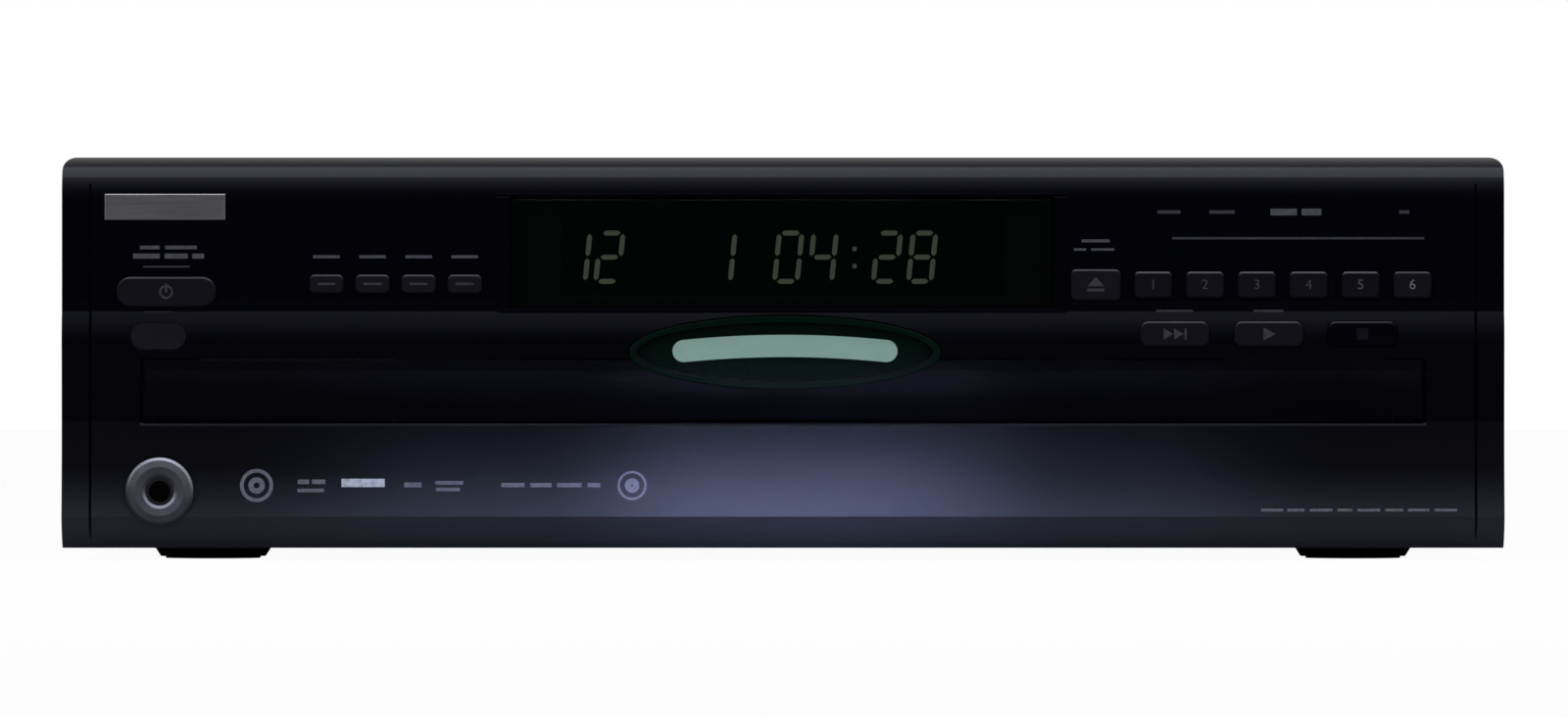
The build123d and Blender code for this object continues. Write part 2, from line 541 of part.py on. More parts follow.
def drawer_parts():
    outline = Pos(0, (frame_front + tail_y) / 2) * Rectangle(2 * frame_half, tail_y - frame_front)
    outline += Pos(0, carousel_y) * Circle(frame_half)
    inner = Pos(0, (frame_front + tail_y) / 2) * Rectangle(2 * bore_r, tail_y - frame_front - 2 * moulding_t)
    tray = flat(outline, frame_z, deck_z)
    tray -= flat(Pos(0, carousel_y) * Circle(bore_r), frame_floor_z, deck_z + 1)
    tray -= flat(inner - Pos(0, carousel_y) * Circle(frame_half), frame_z - 1, deck_z - moulding_t)
    for sx in (-1, 1):
        tongue = block(frame_half - 0.1, frame_half + tongue_w, inner_y + 4.0, tail_y,
                       frame_z + tongue_z, frame_z + tongue_z + tongue_t)
        tray += tongue if sx > 0 else mirror(tongue, about=Plane.YZ)
    teeth = rack_teeth(rack_x, inner_y + 12.0, drive_y + travel + 12.0, drive_module, drive_y)
    tray += flat(teeth, frame_z + 0.8, frame_z + 5.2)
    tray += post(0, carousel_y, frame_floor_z - 0.1, deck_z + 1.1, post_r)
    tray -= block(-mech_half - 3, mech_half + 3, mech_front - 5, mech_back + 5, frame_z - 1, deck_z + 2)
    for angle in (0, 60, 120, 180, 240, 300):
        rib = Pos(0, carousel_y) * Rot(0, 0, angle + 30) * (Pos(105, 0) * SlotOverall(60.0, 16.0))
        if angle != 60:
            tray -= flat(rib, frame_z - 1, frame_floor_z + 0.01)
    export_step(tray, "parts/drawer_frame.step")

    glides = None
    for angle in (0, 60, 120, 180, 240, 300):
        a = math.radians(angle)
        gx, gy = 173.0 * math.cos(a), carousel_y + 173.0 * math.sin(a)
        stud = post(gx, gy, frame_floor_z, cup_z - 0.03, 3.0)
        stud = chamfer(stud.faces().sort_by(Axis.Z)[-1].edges(), 0.6)
        glides = stud if glides is None else glides + stud
    export_step(glides, "parts/carousel_glides.step")

    motor = post(0, pinion_y, frame_floor_z, deck_z - 5.2, 10.0)
    motor += post(0, pinion_y, deck_z - 5.3, deck_z + 0.1, 1.0)
    motor += block(-4, 4, pinion_y - 13, pinion_y - 9, frame_floor_z, frame_floor_z + 3.4)
    export_step(motor, "parts/carousel_motor.step")

    mid = (front_z0 + front_z1) / 2
    bar = upright(Pos(0, mid) * RectangleRounded(2 * front_half, front_z1 - front_z0, 1.2), front_y, frame_front)
    bar += upright(Pos(oval_x, oval_z) * Ellipse(oval_a, oval_b), front_y, frame_front)
    side = make_face(
        bulge((panel_y - 1.0, oval_z + oval_b + 1), (panel_y - 2.0, front_z1 - 3.0), 0.0001)
        + bulge((panel_y - 2.0, front_z1 - 3.0), (panel_y - 1.2, front_z0), 0.9)
        + Polyline((panel_y - 1.2, front_z0), (panel_y - 1.2, front_z0 - 1), (frame_front, front_z0 - 1),
                   (frame_front, oval_z + oval_b + 1), (panel_y - 1.0, oval_z + oval_b + 1))
    )
    bar &= along_x(side, -half_width, half_width)
    ends = Pos(0, panel_y + 17.3) * RectangleRounded(2 * front_half, 40.0, front_end_r)
    bar &= flat(ends, front_z0 - 1, height)
    bar -= upright(Pos(oval_x, oval_z) * Ellipse(oval_a - 3.0, oval_b - 2.4), front_y - 1, panel_y + 0.6)
    for x in (-150.0, -75.0, 75.0, 150.0):
        bar -= block(x - 30, x + 30, panel_y + 1.4, frame_front + 1, front_z0 + 3, front_z1 - 4)
    export_step(bar, "parts/drawer_front.step")

    dish = upright(Pos(oval_x, oval_z) * Ellipse(oval_a - 3.05, oval_b - 2.45), panel_y - 0.6, panel_y + 0.6)
    centre = Pos(oval_x, light_z - light_r) * Rot(0, 0, 90)
    middle_line = CenterArc((0, 0), light_r, -light_turn / 2, light_turn)
    dish -= upright(centre * SlotArc(middle_line, light_t + 0.1), front_y - 1, panel_y + 0.2)
    export_step(dish, "parts/oval_dish.step")
    light = upright(centre * SlotArc(middle_line, light_t), panel_y - 1.5, panel_y + 0.2)
    export_step(light, "parts/crescent_light.step")


def carousel_parts():
    profile = Polyline(
        (post_r + 0.05, cup_z), (post_r + 3.0, cup_z), (post_r + 3.0, deck_z + hub_rise - moulding_t),
        (hub_r - 3.2, deck_z + hub_rise - moulding_t), (hub_r - 2.0, deck_z - moulding_t),
        (carousel_r - moulding_t, deck_z - moulding_t), (carousel_r - moulding_t, deck_z - rim_skirt),
        (carousel_r, deck_z - rim_skirt), (carousel_r, deck_z - 0.8), (carousel_r - 0.8, deck_z),
        (hub_r, deck_z), (hub_r - 2.0, deck_z + hub_rise), (post_r + 0.05, deck_z + hub_rise), close=True)
    body = Pos(0, carousel_y, 0) * revolve(Plane.XZ * make_face(profile), Axis.Z)
    centres = []
    for k in range(wells):
        a = math.radians(90 + 360 / wells * k)
        centres.append((well_ring_r * math.cos(a), carousel_y + well_ring_r * math.sin(a), 90 + 360 / wells * k))
    for x, y, a in centres:
        body += post(x, y, cup_z, deck_z, well_d / 2 + moulding_t - 0.4)
    body += flat(Pos(0, carousel_y) * (Circle(176.0) - Circle(170.0)), cup_z, cup_z + moulding_t)
    body &= post(0, carousel_y, cup_z - 1, deck_z + hub_rise + 1, carousel_r)
    for x, y, a in centres:
        body -= post(x, y, seat_z, deck_z + 2 + hub_rise, well_d / 2)
        body -= post(x, y, cup_z + moulding_t, seat_z + 1, small_disc_d / 2 + well_gap / 2)
        wide = Pos(-window_reach / 2, 0) * Rectangle(window_reach, window_w)
        narrow = Pos(-lens_slot_reach / 2, 0) * Rectangle(lens_slot_reach, lens_slot_w)
        window = Pos(x, y) * Rot(0, 0, a) * (Circle(window_r) + wide + narrow)
        body -= flat(window, cup_z - 1, deck_z + 1)
    ring = toothed(ring_teeth, ring_module, 270 + 180 / ring_teeth, inward=True)
    band = Pos(0, carousel_y) * (Circle(ring_teeth * ring_module / 2 + 5.0) - ring)
    body += flat(band, deck_z - 5.0, deck_z + hub_rise - moulding_t + 0.1)
    export_step(body, "parts/carousel.step")

    cap_z = deck_z + hub_rise
    cap = post(0, carousel_y, cap_z, cap_z + 0.8, 20.0)
    cap = chamfer(cap.faces().sort_by(Axis.Z)[-1].edges(), 0.5)
    export_step(cap, "parts/hub_cap.step")

    pinion = flat(toothed(pinion_teeth, ring_module, 270.0) - Circle(1.03), deck_z - 4.6, deck_z + 0.2)
    export_step(Pos(0, pinion_y, 0) * pinion, "parts/carousel_pinion.step")


def drive_parts():
    step_z0, step_z1 = frame_z - 7.5, frame_z - 3.5
    plate = block(motor_x - 16, drive_x + 9, drive_y - 12, idler_y + 15, floor_z, floor_z + 1.6)
    plate += post(drive_x, drive_y, floor_z + 1.5, step_z0 - 0.2, 3.0)
    plate += post(drive_x, drive_y, step_z0 - 0.3, frame_z + 5.6, 1.5)
    plate += post(idler_x, idler_y, floor_z + 1.5, belt_z - 2.2, 3.0)
    plate += post(idler_x, idler_y, belt_z - 2.3, step_z1 + 0.6, 1.5)
    export_step(plate, "parts/drive_bracket.step")

    step = flat(toothed(step_teeth, 1.0, idler_angle), step_z0, step_z1)
    step += post(0, 0, step_z1 - 0.1, frame_z + 0.6, 6.0)
    step += flat(toothed(drive_teeth, drive_module, 180.0), frame_z + 0.5, frame_z + 5.5)
    step -= post(0, 0, step_z0 - 1, frame_z + 7, 1.55)
    export_step(Pos(drive_x, drive_y, 0) * step, "parts/drawer_gear.step")

    idler = flat(toothed(idler_teeth, 1.0, idler_angle + 180 + 180 / idler_teeth), step_z0, step_z1)
    idler += post(0, 0, belt_z - 2.0, belt_z + 2.0, pulley_r + 1.0)
    idler += post(0, 0, belt_z + 1.9, step_z0 + 0.1, 4.6)
    idler -= post(0, 0, belt_z - 1.1, belt_z + 1.1, pulley_r + 2) - post(0, 0, belt_z - 2, belt_z + 2, pulley_r - 0.05)
    idler -= post(0, 0, belt_z - 3, step_z1 + 1, 1.55)
    export_step(Pos(idler_x, idler_y, 0) * idler, "parts/pulley_gear.step")

    small = post(0, 0, belt_z - 2.0, belt_z + 2.0, motor_pulley_r + 1.0)
    small -= (post(0, 0, belt_z - 1.1, belt_z + 1.1, motor_pulley_r + 2)
              - post(0, 0, belt_z - 2, belt_z + 2, motor_pulley_r - 0.05))
    small -= post(0, 0, belt_z - 3, belt_z + 3, 1.03)
    export_step(Pos(motor_x, idler_y, 0) * small, "parts/motor_pulley.step")

    motor = post(motor_x, idler_y, floor_z + 1.6, belt_z - 4.0, 12.0)
    motor += post(motor_x, idler_y, belt_z - 4.1, belt_z - 3.0, 3.0)
    motor += post(motor_x, idler_y, belt_z - 3.1, belt_z + 1.8, 1.0)
    export_step(motor, "parts/loading_motor.step")

    span = idler_x - motor_x

    def loop(extra):
        tilt = math.acos((pulley_r - motor_pulley_r) / span)
        big, tiny = pulley_r + extra, motor_pulley_r + extra
        points = []
        for s in (1, -1):
            ux, uy = -math.cos(tilt), s * math.sin(tilt)
            pair = [(motor_x + tiny * ux, idler_y + tiny * uy), (idler_x + big * ux, idler_y + big * uy)]
            points.append(pair)
        web = make_face(Polyline(points[0][0], points[0][1], points[1][1], points[1][0], close=True))
        return web + Pos(motor_x, idler_y) * Circle(tiny) + Pos(idler_x, idler_y) * Circle(big)

    export_step(flat(loop(1.2) - loop(0.0), belt_z - 0.9, belt_z + 0.9), "parts/drive_belt.step")


def rails():
    lower = frame_z + tongue_z - slide_gap
    upper = frame_z + tongue_z + tongue_t + slide_gap
    web_x = frame_half + tongue_w + slide_gap
    y0, y1 = fascia_back + 0.5, tail_y + 10.0
    rail = block(web_x, web_x + rail_t, y0, y1, lower - rail_t, upper + rail_t)
    rail += block(frame_half + 0.8, web_x + 0.1, y0, y1, lower - rail_t, lower)
    rail += block(frame_half + 0.8, web_x + 0.1, y0, y1, upper, upper + rail_t)
    for y in (-134.0, 0.0, 134.0):
        rail += block(web_x, web_x + rail_t, y - 10, y + 10, floor_z, lower)
        rail += block(web_x, web_x + 12.0, y - 10, y + 10, floor_z, floor_z + rail_t)
    return rail + mirror(rail, about=Plane.YZ)


def clamp_parts():
    z0 = deck_z + 4.6
    foot_in = frame_half + tongue_w + slide_gap + rail_t + 4.6
    bridge = block(-foot_in, foot_in, disc_y - 22, disc_y + 22, z0, z0 + 1.4)
    for y in (disc_y - 22, disc_y + 20.6):
        bridge += block(-foot_in, foot_in, y, y + 1.4, z0, z0 + 9.0)
    for sx in (-1, 1):
        bridge += block(sx * foot_in, sx * (foot_in - 1.4), disc_y - 12, disc_y + 12, floor_z, z0 + 0.1)
        bridge += block(sx * foot_in, sx * (foot_in + 9), disc_y - 12, disc_y + 12, floor_z, floor_z + 1.4)
        bridge -= flat(Pos(sx * 100, disc_y) * SlotOverall(110.0, 18.0), z0 - 1, z0 + 3)
    bridge -= post(0, disc_y, z0 - 1, z0 + 3, 13.0)
    export_step(bridge, "parts/clamp_bridge.step")

    puck = Pos(0, disc_y, 0) * revolve(Plane.XZ * make_face(Polyline(
        (0, z0 - 1.6), (8.4, z0 - 1.6), (8.4, z0 - 4.0), (15.0, z0 - 4.0), (15.0, z0 - 1.4), (11.0, z0 - 0.6),
        (11.0, z0 + 1.42), (16.0, z0 + 1.42), (16.0, z0 + 2.6), (12.0, z0 + 3.4), (0, z0 + 3.4), close=True)), Axis.Z)
    export_step(puck, "parts/clamp_puck.step")


def pickup_parts():
    frame = block(-mech_half, mech_half, mech_front, mech_back, mech_z0, mech_z1)
    frame -= block(-mech_half + mech_wall, mech_half - mech_wall, mech_front + mech_wall, mech_back - mech_wall,
                   mech_z0 - 1, mech_z1 - 2.0)
    frame -= block(-22.0, sled_rack_x + 1.4, disc_y - 84.0, disc_y - 17.0, mech_z0 - 1, mech_z1 + 1)
    frame += block(-mech_half + 0.1, mech_half - 0.1, disc_y - 17.0, disc_y - 15.0, mech_z0, mech_z1 - 1.9)
    frame += block(sled_rack_x + 1.2, mech_half - 0.1, sled_gear_y - 8, sled_gear_y + 8, rod_z - 3.6, rod_z - 2.4)
    frame -= block(sled_rack_x + 1.2, mech_half - mech_wall, sled_gear_y - 8, sled_gear_y + 8, rod_z - 2.4, mech_z1 + 1)
    frame -= block(-mech_half - 1, mech_half + 1, mech_front - 1, pivot_y + 12.0, mech_nose_z, mech_z1 + 1)
    frame -= post(sled_gear_x, sled_gear_y, mech_z0, mech_z0 + 5, 1.3)
    frame -= post(0, disc_y, mech_z0, mech_z1 + 1, 6.6)
    for sx in (-1, 1):
        frame += rod_x(pivot_y, pivot_z, sx * (mech_half - 0.1), sx * (mech_half + 4.6), 2.0)
    export_step(park(frame), "parts/pickup_frame.step")

    bars = rod_y(rods[0], rod_z, mech_front + mech_wall, disc_y - 17.0, 1.5)
    bars += rod_y(rods[1], rod_z, mech_front + mech_wall, disc_y - 17.0, 1.5)
    export_step(park(bars), "parts/guide_rods.step")

    motor = post(0, disc_y, mech_z0 - 2.0, mech_z1 - 2.0, 12.5)
    motor -= post(0, disc_y, mech_z0, mech_z1, 1.3)
    sled_motor = post(sled_gear_x, sled_gear_y, mech_z0 - 6.6, rod_z - 3.6, 5.8)
    sled_motor += post(sled_gear_x, sled_gear_y, rod_z - 3.7, rod_z + 1.2, 1.0)
    export_step(park(motor + sled_motor), "parts/pickup_motors.step")

    table = Pos(0, disc_y, 0) * revolve(Plane.XZ * make_face(Polyline(
        (0, mech_z0 + 1.0), (1.25, mech_z0 + 1.0), (1.25, mech_z1 + 1.0), (5.0, mech_z1 + 1.0),
        (5.0, table_z - 2.0), (13.0, table_z - 1.6), (13.0, table_z), (7.4, table_z), (7.2, table_z + 1.4),
        (5.0, table_z + 2.6), (0, table_z + 2.6), close=True)), Axis.Z)
    export_step(park(table), "parts/disc_table.step")

    lens_y = disc_y - sled_home
    body_back = lens_y + 3.0
    body_front = lens_y - 24.0
    sled = block(rods[0] - 4, rods[1] + 1.0, body_front, body_back, rod_z - 3.0, mech_z1 + 2.5)
    sled += post(-2.0, lens_y, mech_z1 + 2.4, table_z - 2.4, 6.0)
    sled += block(rods[1] - 1.0, sled_rack_x - 1.0, disc_y - 64.0, body_back, rod_z - 1.5, rod_z + 1.5)
    teeth = rack_teeth(sled_rack_x, disc_y - 64.0, disc_y - 20.5, sled_module, sled_gear_y)
    sled += flat(teeth, rod_z - 1.5, rod_z + 1.5)
    for x in rods:
        sled -= rod_y(x, rod_z, disc_y - 70.0, body_back + 1, 1.54)
    sled -= post(-2.0, lens_y, table_z - 4.4, table_z, 3.6)
    export_step(park(sled), "parts/pickup_sled.step")
    lens = post(-2.0, lens_y, table_z - 4.4, table_z - 2.0, 3.5)
    lens = chamfer(lens.faces().sort_by(Axis.Z)[-1].edges(), 0.8)
    export_step(park(lens), "parts/pickup_lens.step")

    wheel = flat(toothed(sled_teeth, sled_module, 180.0) - Circle(1.03), rod_z - 1.6, rod_z + 1.4)
    export_step(park(Pos(sled_gear_x, sled_gear_y, 0) * wheel), "parts/sled_gear.step")

    stand = block(-mech_half - 6, mech_half + 6, pivot_y - 9, pivot_y + 9, floor_z, floor_z + 1.4)
    for sx in (-1, 1):
        inner, outer = mech_half + 1.4, mech_half + 4.4
        stand += block(sx * inner, sx * outer, pivot_y - 5, pivot_y + 5, floor_z + 1.3, pivot_z + 3.6)
    stand -= rod_x(pivot_y, pivot_z, -mech_half - 6, mech_half + 6, 2.05)
    stand += block(-12, 12, disc_y + 4.0, disc_y + 18.0, floor_z, floor_z + 1.4)
    stop = park(block(-8, 8, mech_back - 3.0, mech_back, mech_z0 - 0.1, mech_z0)).bounding_box()
    stand += block(-6, 6, stop.min.Y, stop.max.Y, floor_z + 1.3, stop.min.Z - 0.05)
    export_step(stand, "parts/pickup_stand.step")


os.makedirs("parts", exist_ok=True)
export_step(case_front(), "parts/front_panel.step")
front_fittings()
for name, (x, z, w, h, r, out) in keys.items():
    export_step(key_cap(x, z, w, h, r, out), f"parts/{name}.step")
export_step(base_pan(), "parts/base_pan.step")
export_step(outer_shell(), "parts/top_cover.step")
rear_group()
power_group()
feet()
screws()
drawer_parts()
carousel_parts()
drive_parts()
export_step(rails(), "parts/drawer_rails.step")
clamp_parts()
pickup_parts()
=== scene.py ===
import json
import math

import bmesh
import bpy
from mathutils import Matrix, Vector


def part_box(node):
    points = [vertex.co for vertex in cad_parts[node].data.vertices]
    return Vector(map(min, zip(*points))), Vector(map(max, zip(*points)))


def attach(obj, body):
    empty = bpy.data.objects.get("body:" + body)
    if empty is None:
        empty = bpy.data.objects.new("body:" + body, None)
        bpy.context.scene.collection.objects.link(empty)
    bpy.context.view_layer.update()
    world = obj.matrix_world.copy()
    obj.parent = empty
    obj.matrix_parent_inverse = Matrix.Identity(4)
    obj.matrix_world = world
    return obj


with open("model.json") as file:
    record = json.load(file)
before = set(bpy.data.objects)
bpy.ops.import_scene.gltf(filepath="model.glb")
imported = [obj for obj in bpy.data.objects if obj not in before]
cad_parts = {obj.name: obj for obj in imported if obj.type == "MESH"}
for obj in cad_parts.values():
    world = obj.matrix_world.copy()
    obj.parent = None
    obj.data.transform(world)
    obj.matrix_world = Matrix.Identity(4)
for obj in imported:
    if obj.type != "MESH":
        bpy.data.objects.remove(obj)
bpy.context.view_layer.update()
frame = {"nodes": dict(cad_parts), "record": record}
print("frame loaded")

mm = 0.001
black = (0, 0, 0, 1)
white = (1, 1, 1, 1)


class Wire:
    # One output of a shader node; sums and products of wires add Math nodes.
    def __init__(self, finish, socket):
        self.finish = finish
        self.socket = socket

    def reckon(self, operation, first, second):
        return self.finish.put("ShaderNodeMath", {"operation": operation}, {0: first, 1: second})

    def __add__(self, other):
        return self.reckon("ADD", self, other)

    def __sub__(self, other):
        return self.reckon("SUBTRACT", self, other)

    def __rsub__(self, other):
        return self.reckon("SUBTRACT", other, self)

    def __mul__(self, other):
        return self.reckon("MULTIPLY", self, other)

    __radd__ = __add__
    __rmul__ = __mul__


class Finish:
    # The nodes of a material or of the world, put down one at a time.
    def __init__(self, tree):
        self.tree = tree
        self.tree.nodes.clear()

    def put(self, kind, settings=None, values=None, output=0):
        node = self.tree.nodes.new(kind)
        for key, value in (settings or {}).items():
            if key == "stops":
                while len(node.color_ramp.elements) < len(value):
                    node.color_ramp.elements.new(0.5)
                for element, (place, level) in zip(node.color_ramp.elements, value):
                    element.position = place
                    element.color = (level, level, level, 1.0)
            else:
                setattr(node, key, value)
        for key, value in (values or {}).items():
            if isinstance(value, Wire):
                self.tree.links.new(value.socket, node.inputs[key])
            else:
                node.inputs[key].default_value = value
        return Wire(self, node.outputs[output]) if node.outputs else None

    def place(self):
        return self.put("ShaderNodeTexCoord", output="Object")

    def stretched(self, scale):
        return self.put("ShaderNodeMapping", None, {"Vector": self.place(), "Scale": scale})

    def upright(self, vector):
        return self.put("ShaderNodeSeparateXYZ", None, {0: vector}, 2)

    def facingUp(self):
        return self.upright(self.put("ShaderNodeNewGeometry", output="Normal"))

    def noise(self, scale, detail=2.0, where=None):
        values = {"Vector": where or self.place(), "Scale": scale, "Detail": detail}
        return self.put("ShaderNodeTexNoise", None, values)

    def ramp(self, value, *stops):
        return self.put("ShaderNodeValToRGB", {"stops": stops}, {"Fac": value})

    def below(self, value, level):
        return self.put("ShaderNodeMath", {"operation": "LESS_THAN"}, {0: value, 1: level})

    def tint(self, amount, low, high):
        values = {0: amount, 6: (*low, 1.0), 7: (*high, 1.0)}
        return self.put("ShaderNodeMix", {"data_type": "RGBA"}, values, 2)

    def bump(self, height, strength, distance):
        values = {"Height": height, "Strength": strength, "Distance": distance}
        return self.put("ShaderNodeBump", None, values)

    def close(self, values):
        shader = self.put("ShaderNodeBsdfPrincipled", None, values)
        self.put("ShaderNodeOutputMaterial", None, {"Surface": shader})


def newFinish(name):
    material = bpy.data.materials.new(name)
    material.use_nodes = True
    return material, Finish(material.node_tree)


# Moulded plastics: base colour, colour of the dusty patches, roughness, the grain's noise scale, the grain's
# depth in metres, and the strength of the gloss where it isn't the usual one
plastics = {
    "panelBlack": dict(base=(0.0010, 0.0011, 0.0022), dust=(0.004, 0.004, 0.006), rough=0.13,
                       grain=2600, depth=0.00002, gloss=0.10),
    "drawerBlack": dict(base=(0.0010, 0.0011, 0.0022), dust=(0.004, 0.004, 0.006), rough=0.36,
                        grain=2600, depth=0.00002, gloss=0.07),
    "keyBlack": dict(base=(0.0048, 0.0048, 0.0072), dust=(0.010, 0.010, 0.014), rough=0.30,
                     grain=3400, depth=0.00001, gloss=0.25),
    "keyDark": dict(base=(0.0030, 0.0032, 0.0055), dust=(0.008, 0.008, 0.012), rough=0.28,
                    grain=3400, depth=0.00001),
    "socketBlack": dict(base=(0.012, 0.012, 0.012), dust=(0.04, 0.04, 0.04), rough=0.28,
                        grain=1800, depth=0.00001),
    "dishGreen": dict(base=(0.0006, 0.0058, 0.0032), dust=(0.0015, 0.011, 0.007), rough=0.26,
                      grain=900, depth=0.000004, gloss=0.08),
    "drawerGrey": dict(base=(0.030, 0.030, 0.032), dust=(0.060, 0.060, 0.062), rough=0.52,
                       grain=1500, depth=0.00004),
    "maskBlack": dict(base=(0.0012, 0.0014, 0.0014), dust=(0.003, 0.003, 0.003), rough=0.5,
                      grain=1900, depth=0.00001),
    "trayBlack": dict(base=(0.020, 0.020, 0.022), dust=(0.045, 0.045, 0.047), rough=0.42,
                      grain=1900, depth=0.00003),
    "gearWhite": dict(base=(0.62, 0.60, 0.54), dust=(0.40, 0.37, 0.31), rough=0.46,
                      grain=1200, depth=0.00001),
    "capGrey": dict(base=(0.075, 0.076, 0.080), dust=(0.12, 0.12, 0.12), rough=0.30,
                    grain=2400, depth=0.00001),
    "sensorBlack": dict(base=(0.008, 0.0074, 0.012), dust=(0.016, 0.015, 0.020), rough=0.14,
                        grain=800, depth=0.000003),
    "padRubber": dict(base=(0.018, 0.018, 0.018), dust=(0.09, 0.088, 0.082), rough=0.82,
                      grain=1400, depth=0.00006),
}

# What they share: dust in patches, most on faces that look up, smears that run across, and a fine grain
moulding = dict(patchScale=28.0, patchDetail=5.0, patchRamp=((0.42, 0.0), (0.74, 1.0)), patchShare=0.25,
                upRamp=((0.55, 0.0), (0.98, 0.55)), smearScale=9.0, smearDetail=3.0,
                smearAxes=(1.0, 1.0, 3.5), smearRough=0.16, grainDetail=3.0, grainRough=0.05,
                grainBump=0.35, gloss=0.36, shineTint=(0.80, 0.82, 1.0, 1.0))


def smearNoise(finish):
    across = finish.stretched(moulding["smearAxes"])
    return finish.noise(moulding["smearScale"], moulding["smearDetail"], across)


def mouldedPlastic(name, base, dust, rough, grain, depth, gloss=moulding["gloss"]):
    material, finish = newFinish(name)
    cloud = finish.noise(moulding["patchScale"], moulding["patchDetail"])
    patches = finish.ramp(cloud, *moulding["patchRamp"])
    settled = finish.ramp(finish.facingUp(), *moulding["upRamp"])
    grainNoise = finish.noise(float(grain), moulding["grainDetail"])
    smears = smearNoise(finish)
    finish.close({
        "Base Color": finish.tint(patches * moulding["patchShare"] + settled * patches, base, dust),
        "Roughness": rough + (smears - 0.5) * moulding["smearRough"]
                     + (grainNoise - 0.5) * moulding["grainRough"],
        "Specular IOR Level": gloss,
        "Specular Tint": moulding["shineTint"],
        "Normal": finish.bump(grainNoise, moulding["grainBump"], depth),
    })
    return material


# The front panel is polished on its flat face, softer on the curves above and below the face, and satin on
# the leaning lower band, whose lip has a painted bluish sheen, lightest at the bottom edge. Heights in
# metres.
panelZones = dict(low=0.0418, curves=((0.0600, 0.0780), (0.1085, 0.1150)), lip=((0.011, 1.0), (0.026, 0.0)),
                  black=(0.0010, 0.0012, 0.0024), wearAndSheen=(0.017, 0.019, 0.027), polish=0.13, softer=0.10,
                  satin=0.30, smearRough=0.10, grain=2600, grainRough=0.04, depth=0.00002, gloss=0.16)


def panelFinish():
    material, finish = newFinish("panelSatin")
    height = finish.upright(finish.place())
    low = finish.below(height, panelZones["low"])
    curves = [finish.below(height, top) - finish.below(height, bottom)
              for bottom, top in panelZones["curves"]]
    smears = smearNoise(finish)
    grainNoise = finish.noise(float(panelZones["grain"]), moulding["grainDetail"])
    zones = panelZones["polish"] + low * panelZones["satin"] + sum(curves) * panelZones["softer"]
    # Painted sheen: the lip's colour turns bluish and lighter towards the bottom edge, in place of a
    # highlight
    lip = finish.ramp(height, *panelZones["lip"])
    finish.close({
        "Base Color": finish.tint(lip, panelZones["black"], panelZones["wearAndSheen"]),
        "Roughness": zones + (smears - 0.5) * panelZones["smearRough"]
                     + (grainNoise - 0.5) * panelZones["grainRough"],
        "Specular IOR Level": panelZones["gloss"],
        "Specular Tint": moulding["shineTint"],
        "Normal": finish.bump(grainNoise, moulding["grainBump"], panelZones["depth"]),
    })
    return material


# Metals: colours of the bright and dull streaks, metallic share, roughness, the streaks' noise scale along
# X, Y and Z, and their depth in metres
metals = {
    "paintedSteel": dict(bright=(0.030, 0.030, 0.032), dull=(0.016, 0.016, 0.018), metal=0.0, rough=0.48,
                         scale=(700, 700, 700), depth=0.00007),
    "platedSteel": dict(bright=(0.66, 0.65, 0.60), dull=(0.46, 0.47, 0.49), metal=1.0, rough=0.34,
                        scale=(30, 500, 500), depth=0.00001),
    "laminations": dict(bright=(0.30, 0.29, 0.28), dull=(0.13, 0.12, 0.115), metal=0.9, rough=0.45,
                        scale=(20, 2600, 20), depth=0.00012),
    "finAluminium": dict(bright=(0.80, 0.80, 0.80), dull=(0.60, 0.60, 0.62), metal=1.0, rough=0.36,
                         scale=(400, 400, 25), depth=0.00002),
    "motorCan": dict(bright=(0.62, 0.62, 0.62), dull=(0.42, 0.42, 0.43), metal=1.0, rough=0.27,
                     scale=(60, 60, 900), depth=0.000008),
    "darkScrew": dict(bright=(0.07, 0.07, 0.075), dull=(0.03, 0.03, 0.033), metal=0.8, rough=0.36,
                      scale=(900, 900, 900), depth=0.00001),
    "groundRod": dict(bright=(0.86, 0.86, 0.87), dull=(0.70, 0.70, 0.72), metal=1.0, rough=0.14,
                      scale=(2000, 40, 2000), depth=0.000003),
    "turnedBrass": dict(bright=(0.83, 0.64, 0.30), dull=(0.62, 0.45, 0.19), metal=1.0, rough=0.26,
                        scale=(50, 50, 2600), depth=0.000008),
    "castSled": dict(bright=(0.44, 0.44, 0.46), dull=(0.28, 0.28, 0.30), metal=0.9, rough=0.50,
                     scale=(900, 900, 900), depth=0.00005),
    "ringSteel": dict(bright=(0.24, 0.25, 0.30), dull=(0.16, 0.17, 0.21), metal=1.0, rough=0.46,
                      scale=(300, 40, 300), depth=0.000004),
    "satinSilver": dict(bright=(0.52, 0.525, 0.53), dull=(0.35, 0.355, 0.36), metal=1.0, rough=0.36,
                        scale=(60, 900, 2600), depth=0.000006),
}

# What they share: streaks and wide patches, both in the colour and in the roughness
metalWear = dict(streakDetail=4.0, streakShare=0.6, streakRough=0.16, streakBump=0.5, patchScale=22.0,
                 patchDetail=4.0, patchRamp=((0.35, 0.0), (0.7, 0.4)), patchRough=0.10)


def workedMetal(name, bright, dull, metal, rough, scale, depth):
    material, finish = newFinish(name)
    streaks = finish.noise(1.0, metalWear["streakDetail"], finish.stretched(scale))
    patches = finish.noise(metalWear["patchScale"], metalWear["patchDetail"])
    shine = streaks * metalWear["streakShare"] + finish.ramp(patches, *metalWear["patchRamp"])
    finish.close({
        "Base Color": finish.tint(shine, dull, bright),
        "Metallic": metal,
        "Roughness": rough + (streaks - 0.5) * metalWear["streakRough"]
                     + (patches - 0.5) * metalWear["patchRough"],
        "Normal": finish.bump(streaks, metalWear["streakBump"], depth),
    })
    return material


